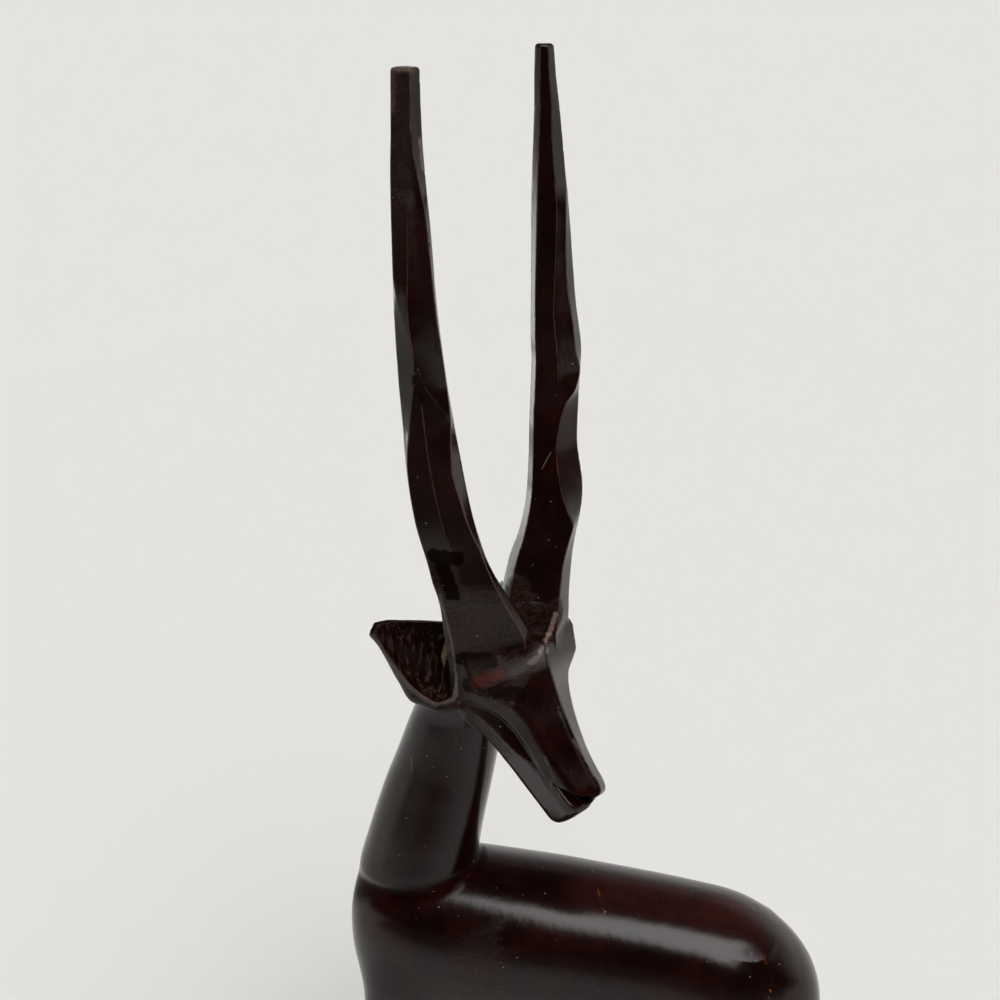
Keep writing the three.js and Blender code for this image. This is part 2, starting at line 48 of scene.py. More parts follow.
# Overall sizes, in millimetres as in the CAD part
PLINTH_LENGTH = 134
PLINTH_WIDTH = 60
PLINTH_HEIGHT = 12
PLINTH_TAPER = 0.4
PLINTH_POWER = 2.3
PLINTH_TOP_EASE = 2.56
PLINTH_FOOT_EASE = 0.8
CHEST_X = -58.6
RUMP_X = 59.2

CROWN = np.array([-7.4, -19.6, 187.7])
HEAD_TURN = math.radians(40)
NOSE_PITCH = math.radians(52)

# Head axes: level heading, forward along the nose, to the animal's left, and
# out of the forehead
UP = np.array([0.0, 0.0, 1.0])
HEADING = np.array([math.cos(HEAD_TURN), -math.sin(HEAD_TURN), 0.0])
FORWARD = HEADING * math.cos(NOSE_PITCH) - UP * math.sin(NOSE_PITCH)
OUTWARD = HEADING * math.sin(NOSE_PITCH) + UP * math.cos(NOSE_PITCH)
LEFT = np.cross(UP, HEADING)

# The body along X: centre height, height above it, depth below it, half width
BODY = [
    [-59, 101.5, 19, 28, 17],
    [-44, 100, 21, 29, 17.5],
    [-30, 99.2, 21.3, 25, 18.5],
    [-12, 98.8, 20.6, 20, 19],
    [8, 97.4, 20.4, 18, 18.4],
    [26, 95.2, 20.6, 16.8, 18.2],
    [40, 92, 22.2, 19, 19.4],
    [59, 87, 24, 15, 19],
]
CHEST_ROUNDING = 22
RUMP_ROUNDING = 34
END_POWER = 2.3
BODY_POWER = 2.25

# Limbs by height: centre X, centre Y, half depth in X, half width in Y
NECK = [
    [92, -42, 0, 14, 8],
    [110, -42, 0, 15, 9.5],
    [114.5, -41.8, 0, 14.8, 11],
    [118.5, -41.4, 0, 14.6, 13.2],
    [126, -39.9, 0, 14, 12.6],
    [140, -36.5, 0.6, 13.1, 11.6],
    [148, -34.3, 1, 12.3, 11.2],
    [161, -31, 0.4, 10.8, 10.6],
    [168, -28.2, -2.2, 10.2, 10],
    [176, -24.6, -5, 9, 9],
    [184, -21.5, -7.8, 6.5, 7],
]
FORELEG = [
    [10.5, -45.6, 9.8, 6.4, 5.4],
    [13, -45.4, 9.8, 6.2, 5.2],
    [18, -44.6, 9.7, 4.8, 4.4],
    [22, -44.4, 9.7, 4.5, 4.2],
    [36, -44.4, 9.6, 4.1, 3.9],
    [42, -44.9, 9.6, 4.9, 4.5],
    [47, -45.1, 9.5, 5.3, 4.7],
    [54, -44.8, 9.4, 5.2, 4.8],
    [66, -45, 9.4, 7, 6.2],
    [78, -44.6, 9, 9.4, 7.6],
    [88, -43.6, 8.6, 9, 7.6],
    [98, -42.6, 8, 6, 5],
    [104, -42, 7.6, 2.4, 2],
]
HIND_LEG = [
    [10.5, 46.4, 10.2, 6.5, 5.4],
    [13, 46.6, 10.2, 6.3, 5.2],
    [18, 47.6, 10.2, 4.9, 4.4],
    [23, 48.4, 10.2, 4.4, 4.1],
    [34, 50.2, 10.1, 4.3, 4],
    [41, 51.6, 10, 5.6, 4.6],
    [47, 51.4, 10, 6.5, 5],
    [56, 48.4, 9.9, 7.8, 5.8],
    [66, 45.4, 9.8, 10.6, 7.2],
    [76, 43.8, 9.2, 12.6, 8.4],
    [86, 42.4, 8.8, 12.6, 8.6],
    [96, 41, 8, 8.4, 6.4],
    [104, 40, 7.4, 3, 2.4],
]
TAIL = [
    [58, 56.8, 0, 1.6, 1.6],
    [63, 57.8, 0, 2.8, 3],
    [73, 58.2, 0, 3.2, 3.4],
    [83, 57, 0, 2.8, 3],
    [90, 54.6, 0, 2, 2],
]

# Half outlines of the head. Each row is the distance along the nose, the bridge,
# the brow and upper edge of the cheek band, the band's lower edge, the floor of
# the eye groove, the jaw's upper edge, the jaw's corner and the underside.
HEAD = [
    [-16, -15, 5, -16, 7.6, -18.6, 8, -20, 8.5, -22, 6, -25, -27],
    [-10, -8.5, 8.5, -9.5, 12.2, -15.4, 12.4, -17.4, 12.4, -20, 7.6, -26, -29.5],
    [-5, -4, 13.6, -4.2, 14.2, -13.4, 13.8, -16.4, 13.9, -19, 8.4, -26.2, -30.5],
    [-1, -0.2, 14.5, -6.4, 14.6, -14.2, 13.8, -16.8, 14.4, -18.8, 9.2, -26.4, -30.4],
    [1.2, -0.6, 14.3, -7.2, 14.2, -15, 13, -17, 14.2, -18.8, 9.6, -26.4, -29.8],
    [3.2, -0.9, 13.1, -8.4, 13.5, -14.6, 12.2, -16.9, 13.7, -18.8, 9.8, -26.2, -29.2],
    [5, -1.2, 11.4, -9.1, 12.3, -13.6, 11, -16, 12.8, -18.3, 9.9, -26.1, -28.5],
    [7, -1.6, 9.6, -8.5, 10.8, -12.6, 9.4, -15, 11.6, -17.5, 9.2, -25.4, -27.5],
    [10, -2.3, 7.8, -7.6, 9, -11.8, 7.6, -14.2, 10.1, -16.8, 8.3, -24.6, -26.4],
    [14, -2.8, 6.5, -7.2, 7.6, -11.3, 6.2, -13.7, 8.5, -16.3, 7.1, -23.9, -25.3],
    [18, -3, 6, -7.3, 6.9, -11, 5.8, -13, 7.4, -14.9, 6.2, -23.2, -24.4],
    [21, -2.9, 5.7, -7.3, 6.4, -10.8, 6.1, -11.9, 6.7, -13.1, 5.7, -22.5, -23.7],
    [24.5, -2.75, 5.2, -6.7, 6, -10.4, 6, -11.2, 6.2, -12.2, 5.2, -21.7, -22.8],
    [28, -2.35, 4.8, -5.8, 5.6, -9.6, 5.6, -10.3, 5.8, -11.4, 4.7, -20.8, -21.8],
    [31, -1.75, 4.4, -4.9, 5.3, -8.6, 5.3, -9.4, 5.4, -10.6, 4.3, -20, -21],
    [34, -1.7, 3.9, -4.6, 4.8, -8.2, 4.9, -9.2, 5, -10.4, 3.6, -19.6, -21],
    [37, -1.9, 3.4, -4.6, 4.3, -8, 4.4, -9, 4.5, -10.2, 3.2, -19.4, -21],
]

# Horns by height: distance out from the middle, distance behind the crown and
# half thickness
RIGHT_HORN = [
    [174, 6.4, 14.5, 4],
    [181, 6.14, 11.41, 8.6],
    [186, 6.54, 10.81, 9],
    [192, 8.22, 10.48, 8.7],
    [196, 9.57, 10.71, 8.2],
    [200, 10.92, 11.34, 7.6],
    [205, 12.7, 12.4, 6.9],
    [210, 14.1, 13.3, 6.4],
    [220, 16.3, 14.8, 6.2],
    [230, 17.3, 16.2, 5.9],
    [240, 17.9, 17.3, 5.35],
    [250, 18.6, 18.2, 4.95],
    [265, 19, 19.6, 4.4],
    [280, 18.8, 20.8, 3.95],
    [290, 18.8, 21.5, 3.5],
    [300, 18.6, 22, 3.05],
    [311, 18.2, 22.5, 2.85],
]
LEFT_HORN = [
    [174, 5.8, 14.5, 4],
    [181, 6.43, 12.56, 7.5],
    [186, 6.19, 11.91, 7.8],
    [192, 6.89, 11.86, 8],
    [196, 7.73, 12.25, 7.7],
    [200, 8.84, 12.64, 7.4],
    [205, 10.34, 13.04, 7],
    [210, 12.24, 13.11, 6.5],
    [215, 14, 13.5, 6.4],
    [220, 15.17, 14.29, 6.2],
    [230, 16.12, 16.11, 5.4],
    [240, 17.42, 17.2, 5.4],
    [250, 18.6, 18.2, 5.55],
    [260, 18.5, 19.2, 4.95],
    [270, 18.6, 20, 4.5],
    [280, 18.7, 20.8, 4.1],
    [290, 18.7, 21.5, 3.45],
    [300, 18.6, 22, 2.8],
    [308, 18.3, 22.4, 2.3],
    [314, 18.2, 22.6, 2],
]
# Where the long flats meet on a horn's front: the height, then for each edge its
# place from 1 at the right outline to -1 at the left, and how far forward it
# stands. 0 forward is an edge that has run out.
RIGHT_FLATS = [
    [174, 0.6, 0.3, 0.2, 0, -0.2, 0, -0.7, 0.3],
    [181, 0.75, 0.36, 0.3, 0, -0.2, 0, -0.76, 0.34],
    [186, 0.85, 0.43, 0.3, 0, -0.2, 0, -0.8, 0.38],
    [192, 0.88, 0.46, 0.3, 0, -0.2, 0, -0.82, 0.42],
    [196, 0.88, 0.52, 0.3, 0, -0.2, 0, -0.86, 0.48],
    [202, 0.92, 0.67, 0.3, 0, 0, 0.7, -0.94, 0.58],
    [205, 0.95, 0.66, 0.35, 0, 0, 0.76, -0.96, 0.6],
    [209, 0.96, 0.64, 0.4, 0, 0, 0.82, -0.96, 0.6],
    [212.6, 0.95, 0.65, 0.4, 0, 0, 0.88, -0.96, 0.62],
    [214, 0.92, 0.66, 0.4, 0, 0, 0.91, -0.96, 0.64],
    [218, 0.84, 0.72, 0.4, 0, -0.02, 0.95, -0.96, 0.66],
    [224, 0.75, 0.78, 0.3, 0, -0.05, 0.98, -0.96, 0.66],
    [230, 0.66, 0.82, 0.3, 0, -0.09, 0.98, -0.94, 0.67],
    [235, 0.76, 0.76, 0.4, 0, -0.11, 0.97, -0.86, 0.67],
    [239, 0.87, 0.68, 0.6, 0, -0.12, 0.96, -0.74, 0.68],
    [242, 0.94, 0.6, 0.84, 0.67, -0.12, 0.94, -0.64, 0.73],
    [244.5, 0.97, 0.51, 0.56, 0.74, -0.12, 0.93, -0.54, 0.74],
    [248, 0.98, 0.44, 0.12, 0.88, -0.12, 0, -0.38, 0.84],
    [253, 0.98, 0.45, -0.15, 0.93, -0.2, 0, -0.27, 0.9],
    [257, 0.97, 0.49, -0.28, 0.95, -0.29, 0, -0.32, 0],
    [262, 0.95, 0.53, -0.34, 0.92, -0.4, 0, -0.6, 0.74],
    [266, 0.94, 0.56, -0.33, 0.87, -0.4, 0, -0.84, 0.56],
    [271, 0.9, 0.6, -0.26, 0.82, -0.4, 0, -0.96, 0.56],
    [277, 0.86, 0.66, -0.18, 0.82, -0.5, 0, -0.97, 0.58],
    [284, 0.82, 0.7, -0.11, 0.82, -0.5, 0, -0.97, 0.6],
    [288, 0.68, 0.76, -0.1, 0, -0.5, 0, -0.97, 0.6],
    [292, 0.52, 0.82, 0, 0, -0.5, 0, -0.97, 0.6],
    [297, 0.38, 0.88, 0, 0, -0.5, 0, -0.97, 0.6],
    [302, 0.31, 0.9, 0, 0, -0.5, 0, -0.97, 0.6],
    [311, 0.38, 0.88, 0, 0, -0.5, 0, -0.97, 0.6],
]
LEFT_FLATS = [
    [174, 0.6, 1.05, 0, 0, -0.75, 0.9],
    [181, 0.65, 1.1, 0, 0, -0.77, 1.02],
    [186, 0.69, 1, 0, 0, -0.78, 0.92],
    [192, 0.69, 0.88, 0, 0, -0.78, 0.79],
    [197, 0.69, 0.88, 0, 0, -0.77, 0.79],
    [202, 0.69, 0.88, 0, 0, -0.77, 0.78],
    [207, 0.73, 0.88, 0, 0, -0.78, 0.77],
    [211.5, 0.79, 0.86, 0, 0, -0.82, 0.74],
    [215.5, 0.45, 0.84, 0, 0, -0.83, 0.74],
    [220.6, 0.17, 0.82, -0.1, 0, -0.83, 0.74],
    [226, 0.11, 0.82, -0.1, 0, -0.83, 0.74],
    [233, 0.22, 0.83, -0.1, 0, -0.83, 0.74],
    [238, 0.45, 0.84, 0.2, 0, -0.83, 0.74],
    [241.5, 0.84, 0.78, 0.15, 0.87, -0.83, 0.74],
    [245, 0.96, 0.62, 0.08, 0.92, -0.83, 0.74],
    [250, 0.76, 0.72, 0, 0.95, -0.83, 0.73],
    [257.5, 0.75, 0.74, -0.02, 0.96, -0.82, 0.74],
    [264, 0.65, 0.81, 0.07, 0.97, -0.81, 0.75],
    [270, 0.68, 0.79, 0.17, 0.97, -0.78, 0.77],
    [276, 0.76, 0.72, 0.28, 0.95, -0.74, 0.8],
    [281, 0.86, 0.6, 0.34, 0.95, -0.7, 0.82],
    [286, 0.92, 0, 0.32, 0.95, -0.68, 0.83],
    [291, 0.9, 0, 0.29, 0.96, -0.64, 0.85],
    [297, 0.8, 0, 0.28, 0.96, -0.6, 0.86],
    [304, 0.8, 0, 0.36, 0.94, -0.52, 0.9],
    [314, 0.8, 0, 0.41, 0.92, -0.46, 0.92],
]
HORN_RIGHT_SIDE = (1, 0.14)
HORN_LEFT_SIDE = (-1, 0.28)
HORN_BACK = [(-0.8, -0.55), (0.05, -0.95), (0.86, -0.5)]
BROW_SLOPE = 0.8
BROW_MIDDLE = 8.5
BROW_LEVELS = [181, 198]
HORN_TURN = math.radians(10)
HORN_RIGHT = np.array([math.cos(HORN_TURN), math.sin(HORN_TURN), 0.0])
HORN_FRONT = np.array([math.sin(HORN_TURN), -math.cos(HORN_TURN), 0.0])

# Ears, from the crown: ahead, to the side and up; then rows along the ear with
# its reach upwards and downwards, the depth of its back and of its front
EAR_ROOT = [-11, 11.5, -6]
EAR_TIP = [-37.4, 20, -2.6]
EAR_FACE = [0.32, 0.8, 0.5]
EAR_LEAF = [
    [0, 8.5, 8.6, 6.5, 0.8],
    [0.2, 10, 11.3, 8, 2.4],
    [0.4, 8.2, 11.3, 7.4, 2.8],
    [0.6, 6.5, 8.2, 5.8, 2.2],
    [0.8, 4.6, 4.3, 3.8, 1.4],
    [0.9, 3.6, 2.5, 2.8, 1],
    [1, 2, 1.3, 1.5, 0.6],
]
EAR_HOLLOW = [
    [0.08, 7.4, 7, 3, 6],
    [0.2, 9.2, 9.2, 6.6, 6],
    [0.4, 7.6, 8.3, 6.4, 6],
    [0.6, 5.9, 6, 4.8, 6],
    [0.8, 4, 3.3, 3, 6],
    [0.95, 2.2, 1.2, 1.2, 6],
]
EAR_HOLLOW_LIFT = 1.4

CURVE_SAMPLES = 600

# Beyond this distance from the wood the field isn't followed
FAR = 8.0
MARGIN = 6.0


def curve(knots):
    """A smooth curve through [position, value] knots that never overshoots them."""
    knots = np.array(knots, float)
    at, values = knots[:, 0], knots[:, 1]
    gaps = np.diff(at)
    rises = np.diff(values) / gaps
    slopes = np.zeros(len(at))
    before, after = rises[:-1], rises[1:]
    same = before * after > 0
    slopes[1:-1][same] = 2 * before[same] * after[same] / (before[same] + after[same])
    slopes[0], slopes[-1] = rises[0], rises[-1]
    fine = np.linspace(at[0], at[-1], CURVE_SAMPLES)
    i = np.clip(np.searchsorted(at, fine, side="right") - 1, 0, len(gaps) - 1)
    u = (fine - at[i]) / gaps[i]
    shaped = (
        values[i] * (1 + 2 * u) * (1 - u) ** 2
        + values[i + 1] * u * u * (3 - 2 * u)
        + gaps[i] * slopes[i] * u * (1 - u) ** 2
        - gaps[i] * slopes[i + 1] * u * u * (1 - u)
    )
    return lambda position: np.interp(position, fine, shaped)


def columns(rows):
    """Splits rows of [position, a, b, ...] into one curve a column."""
    rows = np.array(rows, float)
    return [curve(rows[:, [0, k]]) for k in range(1, rows.shape[1])]


def join(a, b, blend):
    """The union of two fields, with a fillet of about that size."""
    near = np.maximum(blend - np.abs(a - b), 0)
    return np.minimum(a, b) - near * near / (4 * blend)


def cut(a, tool, blend):
    """A field with a tool's field taken away, its new edge eased by that size."""
    return -join(-a, tool, blend)


def meet(a, b, blend):
    """The part that two fields share, its edge eased by that size."""
    return -join(-a, -b, blend)


def rounded(across, up, half_across, half_up, power):
    """How far out a place is, 1 on a rounded outline, and how fast that rises."""
    scale = (
        np.abs(across / half_across) ** power + np.abs(up / half_up) ** power
    ) ** (1 / power)
    slope = np.maximum(scale, 1e-6) ** (1 - power) * np.sqrt(
        (np.abs(across / half_across) ** (power - 1) / half_across) ** 2
        + (np.abs(up / half_up) ** (power - 1) / half_up) ** 2
    )
    return scale, slope


def section(across, up, half_across, half_up, power):
    """Distance from a rounded outline, measured along the ray from its middle."""
    scale, slope = rounded(across, up, half_across, half_up, power)
    ray = np.sqrt(across * across + up * up) + 1e-9
    return (scale - 1) / np.maximum(slope, 0.5 * scale / ray)


class Form:
    """A field with the box that it fills, in millimetres."""

    def __init__(self, low, high, field):
        self.low = np.array(low, float)
        self.high = np.array(high, float)
        self.field = field


def limb(rows, power, mirror=1):
    """A limb as level rounded slices, closed at both ends."""
    centre_x, centre_y, depth, width = columns(rows)
    table = np.array(rows, float)
    bottom, top = table[0, 0], table[-1, 0]

    def field(x, y, z):
        level = np.clip(z, bottom, top)
        side = section(
            x - centre_x(level),
            y - mirror * centre_y(level),
            depth(level),
            width(level),
            power,
        )
        return np.maximum(side, np.abs(z - (bottom + top) / 2) - (top - bottom) / 2)

    reach_x, reach_y = table[:, 3], table[:, 4]
    low = [min(table[:, 1] - reach_x), min(mirror * table[:, 2] - reach_y), bottom]
    high = [max(table[:, 1] + reach_x), max(mirror * table[:, 2] + reach_y), top]
    return Form(low, high, field)


def body():
    """The trunk: rounded sections along X with a round chest and rump."""
    centre, above, below, half = columns(BODY)

    def field(x, y, z):
        rise = z - centre(x)
        reach = np.where(rise > 0, above(x), below(x))
        scale, slope = rounded(y, rise, half(x), reach, BODY_POWER)
        chest = np.maximum(1 - (x - CHEST_X) / CHEST_ROUNDING, 0)
        rump = np.maximum(1 - (RUMP_X - x) / RUMP_ROUNDING, 0)
        end = chest + rump
        end_slope = np.where(chest > 0, 1 / CHEST_ROUNDING, 1 / RUMP_ROUNDING)
        whole = (scale**END_POWER + end**END_POWER) ** (1 / END_POWER)
        lean = np.maximum(whole, 1e-6) ** (1 - END_POWER)
        whole_slope = lean * np.sqrt(
            (scale ** (END_POWER - 1) * slope) ** 2
            + (end ** (END_POWER - 1) * end_slope) ** 2
        )
        return (whole - 1) / np.maximum(whole_slope, 0.02)

    return Form([CHEST_X, -20, 66], [RUMP_X, 20, 121.5], field)


def plinth():
    """The oval plinth with eased upper and lower edges."""

    def field(x, y, z):
        inset = PLINTH_TAPER * np.clip(z / PLINTH_HEIGHT, 0, 1)
        half_length, half_width = PLINTH_LENGTH / 2 - inset, PLINTH_WIDTH / 2 - inset
        side = section(x, y, half_length, half_width, PLINTH_POWER)
        return meet(meet(side, z - PLINTH_HEIGHT, PLINTH_TOP_EASE), -z, PLINTH_FOOT_EASE)

    half = [PLINTH_LENGTH / 2, PLINTH_WIDTH / 2]
    return Form([-half[0], -half[1], 0], [half[0], half[1], PLINTH_HEIGHT], field)


def head_place(x, y, z):
    """Turns a place into head coordinates: along the nose, to the left, outwards."""
    dx, dy, dz = x - CROWN[0], y - CROWN[1], z - CROWN[2]
    return [dx * a[0] + dy * a[1] + dz * a[2] for a in (FORWARD, LEFT, OUTWARD)]


def around_crown(ahead, side, up):
    return HEADING * ahead + LEFT * side + UP * up


HEAD_SAMPLES = 256
# How far each corner of the head's outline is rounded, from bridge to underside
HEAD_EASE = [1.0, 0.9, 0.45, 0.8, 0.7, 2.4, 2.4]


def head_outlines():
    """The head's half outlines at many places along the nose, corners rounded."""
    rows = np.array(HEAD, float)
    along = np.linspace(rows[0, 0], rows[-1, 0], HEAD_SAMPLES)
    ridge, *flank, under = [c(along) for c in columns(HEAD)]
    zero = np.zeros_like(along)
    pairs = [(zero, ridge), *zip(flank[::2], flank[1::2]), (zero, under)]
    pairs = [(-pairs[1][0], pairs[1][1]), *pairs, (-pairs[-2][0], pairs[-2][1])]
    corners = np.stack([np.stack(pair, -1) for pair in pairs], 1)
    last = len(HEAD_EASE)
    points = []
    for k in range(1, last + 1):
        here, before, after = corners[:, k], corners[:, k - 1], corners[:, k + 1]
        back, ahead = before - here, after - here
        back_length = np.linalg.norm(back, axis=1, keepdims=True)
        ahead_length = np.linalg.norm(ahead, axis=1, keepdims=True)
        ease = HEAD_EASE[k - 1]
        start = here + back * np.minimum(ease / back_length, 0.45)
        stop = here + ahead * np.minimum(ease / ahead_length, 0.45)
        bend = [
            start * (1 - u) ** 2 + here * 2 * u * (1 - u) + stop * u * u
            for u in (0, 0.33, 0.67, 1)
        ]
        if k in (1, last):
            middle = start * 0.25 + here * 0.5 + stop * 0.25
            middle[:, 0] = 0
            bend = [middle] + bend[2:] if k == 1 else bend[:2] + [middle]
        points += bend
    return along, np.stack(points, 1)


def head():
    """The skull, cheeks and muzzle from the half outlines."""
    along, outlines = head_outlines()
    first, last = along[0], along[-1]
    step = along[1] - along[0]

    def field(x, y, z):
        n, s, t = np.broadcast_arrays(*head_place(x, y, z))
        place = (np.clip(n, first, last) - first) / step
        i = np.minimum(place.astype(int), HEAD_SAMPLES - 2)
        u = place - i
        wide = np.abs(s)
        least = np.full(n.shape, 1e9)
        inside = np.zeros(n.shape, bool)

        def corner(k):
            a, b = outlines[i, k], outlines[i + 1, k]
            return (
                a[..., 0] + (b[..., 0] - a[..., 0]) * u,
                a[..., 1] + (b[..., 1] - a[..., 1]) * u,
            )

        ax, ay = corner(0)
        for k in range(1, outlines.shape[1]):
            bx, by = corner(k)
            ex, ey = bx - ax, by - ay
            wx, wy = wide - ax, t - ay
            share = np.clip((wx * ex + wy * ey) / (ex * ex + ey * ey + 1e-12), 0, 1)
            qx, qy = wx - ex * share, wy - ey * share
            least = np.minimum(least, qx * qx + qy * qy)
            crosses = (t >= np.minimum(ay, by)) & (t < np.maximum(ay, by))
            at = ax + (t - ay) * ex / np.where(np.abs(ey) < 1e-9, 1e-9, ey)
            inside ^= crosses & (wide < at)
            ax, ay = bx, by
        side = np.where(inside, -1, 1) * np.sqrt(least)
        ends = np.maximum(first - n, n - last)
        return np.maximum(side, ends)

    return Form([-35, -58, 148], [32, 8, 200], field)


HORN_ROUND = 0.12
TIP_ROUND = 0.9
# Sides of a horn's outline shorter than this, as a share of its half size, are left out
SHORT_SIDE = 0.1


def front_edges(row):
    """One level's front edges, with those that have run out put on the flat."""
    given = [HORN_RIGHT_SIDE, *zip(row[1::2], row[2::2]), HORN_LEFT_SIDE]
    edges = []
    for i, (across, front) in enumerate(given):
        if front == 0:
            right = next(g for g in given[i - 1 :: -1] if g[1] != 0)
            left = next(g for g in given[i + 1 :] if g[1] != 0)
            across = min(max(across, left[0]), right[0])
            share = (across - left[0]) / (right[0] - left[0])
            front = left[1] + (right[1] - left[1]) * share
        edges.append((across, front))
    return edges


def horn_place(side, rows):
    """Turns a place into a horn's own: level, share across, share forward, half size."""
    out_offset, back_offset, radius = columns(rows)

    def place(x, y, z):
        slope = BROW_SLOPE * (
            1
            - np.clip((z - BROW_LEVELS[0]) / (BROW_LEVELS[1] - BROW_LEVELS[0]), 0, 1)
        )
        dx, dy = x - CROWN[0], y - CROWN[1]
        outwards = side * (dx * LEFT[0] + dy * LEFT[1]) - BROW_MIDDLE
        level = np.clip(z + slope * outwards, rows[0][0], rows[-1][0])
        out, back, size = out_offset(level), back_offset(level), radius(level)
        px = dx - side * out * LEFT[0] + back * HEADING[0]
        py = dy - side * out * LEFT[1] + back * HEADING[1]
        across = (px * HORN_RIGHT[0] + py * HORN_RIGHT[1]) / size
        front = (px * HORN_FRONT[0] + py * HORN_FRONT[1]) / size
        return level, across, front, size

    return place


def horn_outline(flats):
    """The whole outline's corners by height, each as two curves: across and forward."""
    outlines = [
        [row[0], *(value for corner in (*front_edges(row), *HORN_BACK) for value in corner)]
        for row in flats
    ]
    return columns(outlines)


def horn(side, rows, flats):
    """A long horn carved in flats, with front edges that wander across it."""
    place = horn_place(side, rows)
    outline = horn_outline(flats)
    tip = rows[-1][0]

    def field(x, y, z):
        level, across, front, size = place(x, y, z)
        corners = [
            (outline[k](level), outline[k + 1](level)) for k in range(0, len(outline), 2)
        ]
        whole = None
        for k, (cx, cy) in enumerate(corners):
            nx, ny = corners[(k + 1) % len(corners)]
            ex, ey = nx - cx, ny - cy
            length = np.sqrt(ex * ex + ey * ey) + 1e-6
            flat = ((across - cx) * ey - (front - cy) * ex) / length * size
            flat = flat - FAR * np.maximum(1 - length / SHORT_SIDE, 0)
            whole = flat if whole is None else meet(whole, flat, HORN_ROUND)
        return meet(whole, z - tip, TIP_ROUND)

    table = np.array(rows, float)
    centre = (
        CROWN[:2]
        + side * np.outer(table[:, 1], LEFT[:2])
        - np.outer(table[:, 2], HEADING[:2])
    )
    reach = table[:, 3:4] * 1.1
    low = [*(centre - reach).min(0), 171]
    high = [*(centre + reach).max(0), tip]
    return Form(low, high, field)


def ear_axes(side):
    root, tip = [CROWN + around_crown(a, side * b, c) for a, b, c in (EAR_ROOT, EAR_TIP)]
    axis = tip - root
    length = np.linalg.norm(axis)
    axis = axis / length
    face = around_crown(EAR_FACE[0], side * EAR_FACE[1], EAR_FACE[2])
    face = face - axis * face.dot(axis)
    face = face / np.linalg.norm(face)
    down = -side * np.cross(face, axis)
    return root, axis, length, face, down


def ear(side, rows, lift):
    """One leaf of an ear, or its hollow, as rounded slices along the ear."""
    root, axis, length, face, down = ear_axes(side)
    above, below, back, front = columns(rows)
    first, last = rows[0][0], rows[-1][0]

    def field(x, y, z):
        dx, dy, dz = x - root[0], y - root[1], z - root[2]
        along = (dx * axis[0] + dy * axis[1] + dz * axis[2]) / length
        a = dx * down[0] + dy * down[1] + dz * down[2]
        b = dx * face[0] + dy * face[1] + dz * face[2] - lift
        u = np.clip(along, first, last)
        side_way = section(
            a, b, np.where(a > 0, below(u), above(u)), np.where(b > 0, front(u), back(u)), 2
        )
        return np.maximum(side_way, np.maximum(first - along, along - last) * length)

    ends = np.array([root, root + axis * length])
    return Form(ends.min(0) - 13, ends.max(0) + 13, field)


def wedge(n, t, corners):
    """A convex prism across the head, from (along, outwards) corners."""
    whole = None
    for k, (cn, ct) in enumerate(corners):
        nn, nt = corners[(k + 1) % len(corners)]
        en, et = nn - cn, nt - ct
        flat = ((n - cn) * et - (t - ct) * en) / math.hypot(en, et)
        whole = flat if whole is None else np.maximum(whole, flat)
    return whole


# The mouth, a wedge cut across the muzzle, and the blunt end of the muzzle, as
# places along the nose and outwards
MOUTH = [(27.8, -8.8), (37, -6.6), (37, 1)]
# To the left of this place the mouth sinks and closes, by these shares
MOUTH_ASIDE = -2
MOUTH_SINKS = 0.35
MOUTH_CLOSES = 1.9
MUZZLE_END = [
    (32, 2.5),
    (33.4, -1.4),
    (33.6, -7.4),
    (34, -10.4),
    (34.4, -14),
    (34.2, -17.5),
    (33, -20.4),
    (31, -24),
]
# How far the lower lip stands out, how it rounds away, where it stands out most and
# between which places outwards it begins
LIP_REACH = 1.5
LIP_BEND = 0.07
LIP_ASIDE = 2
LIP_TOP = (-6.6, -8.4)
MUZZLE_EASE = 2
MOUTH_EASE = 0.4
# The flat cut across the right brow, at the foot of the horn: a place on it and the
# way it faces, along the nose, to the left and out of the forehead
BROW_POINT = (1.13, -3.13, -2.63)
BROW_FACING = (-0.112, -0.505, 0.856)
BROW_EASE = 0.5


def carved_head(field):
    """The head's field with its brow, mouth and blunt muzzle cut."""
    end = curve(sorted((t, n) for n, t in MUZZLE_END))

    def shaped(x, y, z):
        n, s, t = head_place(x, y, z)
        lip = LIP_REACH - LIP_BEND * (s + LIP_ASIDE) ** 2
        front = end(t) + lip * fade(t, *LIP_TOP)
        whole = cut(field(x, y, z), front - n, MUZZLE_EASE)
        past = np.maximum(s - MOUTH_ASIDE, 0)
        mouth = np.maximum(
            wedge(n, t + MOUTH_SINKS * past, MOUTH), wedge(n, t + MOUTH_CLOSES * past, MOUTH)
        )
        whole = cut(whole, mouth, MOUTH_EASE)
        return cut(whole, -above_brow(n, s, t), BROW_EASE)

    return shaped


LEG_POWER = 2.3
NECK_POWER = 2.2
TAIL_POWER = 2
EAR_EASE = 0.3
# The fillet where each form joins those before it
LEG_BLEND = 5
TAIL_BLEND = 1
PLINTH_BLEND = 1.2
NECK_BLEND = 3
HEAD_BLEND = 3.5
EAR_BLEND = 2.5
HORN_BLEND = 1.2


def hollow_ear(side):
    """An ear's leaf with its hollow cut."""
    leaf = ear(side, EAR_LEAF, 0)
    hollow = ear(side, EAR_HOLLOW, EAR_HOLLOW_LIFT)

    def field(x, y, z):
        return cut(leaf.field(x, y, z), hollow.field(x, y, z), EAR_EASE)

    return Form(leaf.low, leaf.high, field)


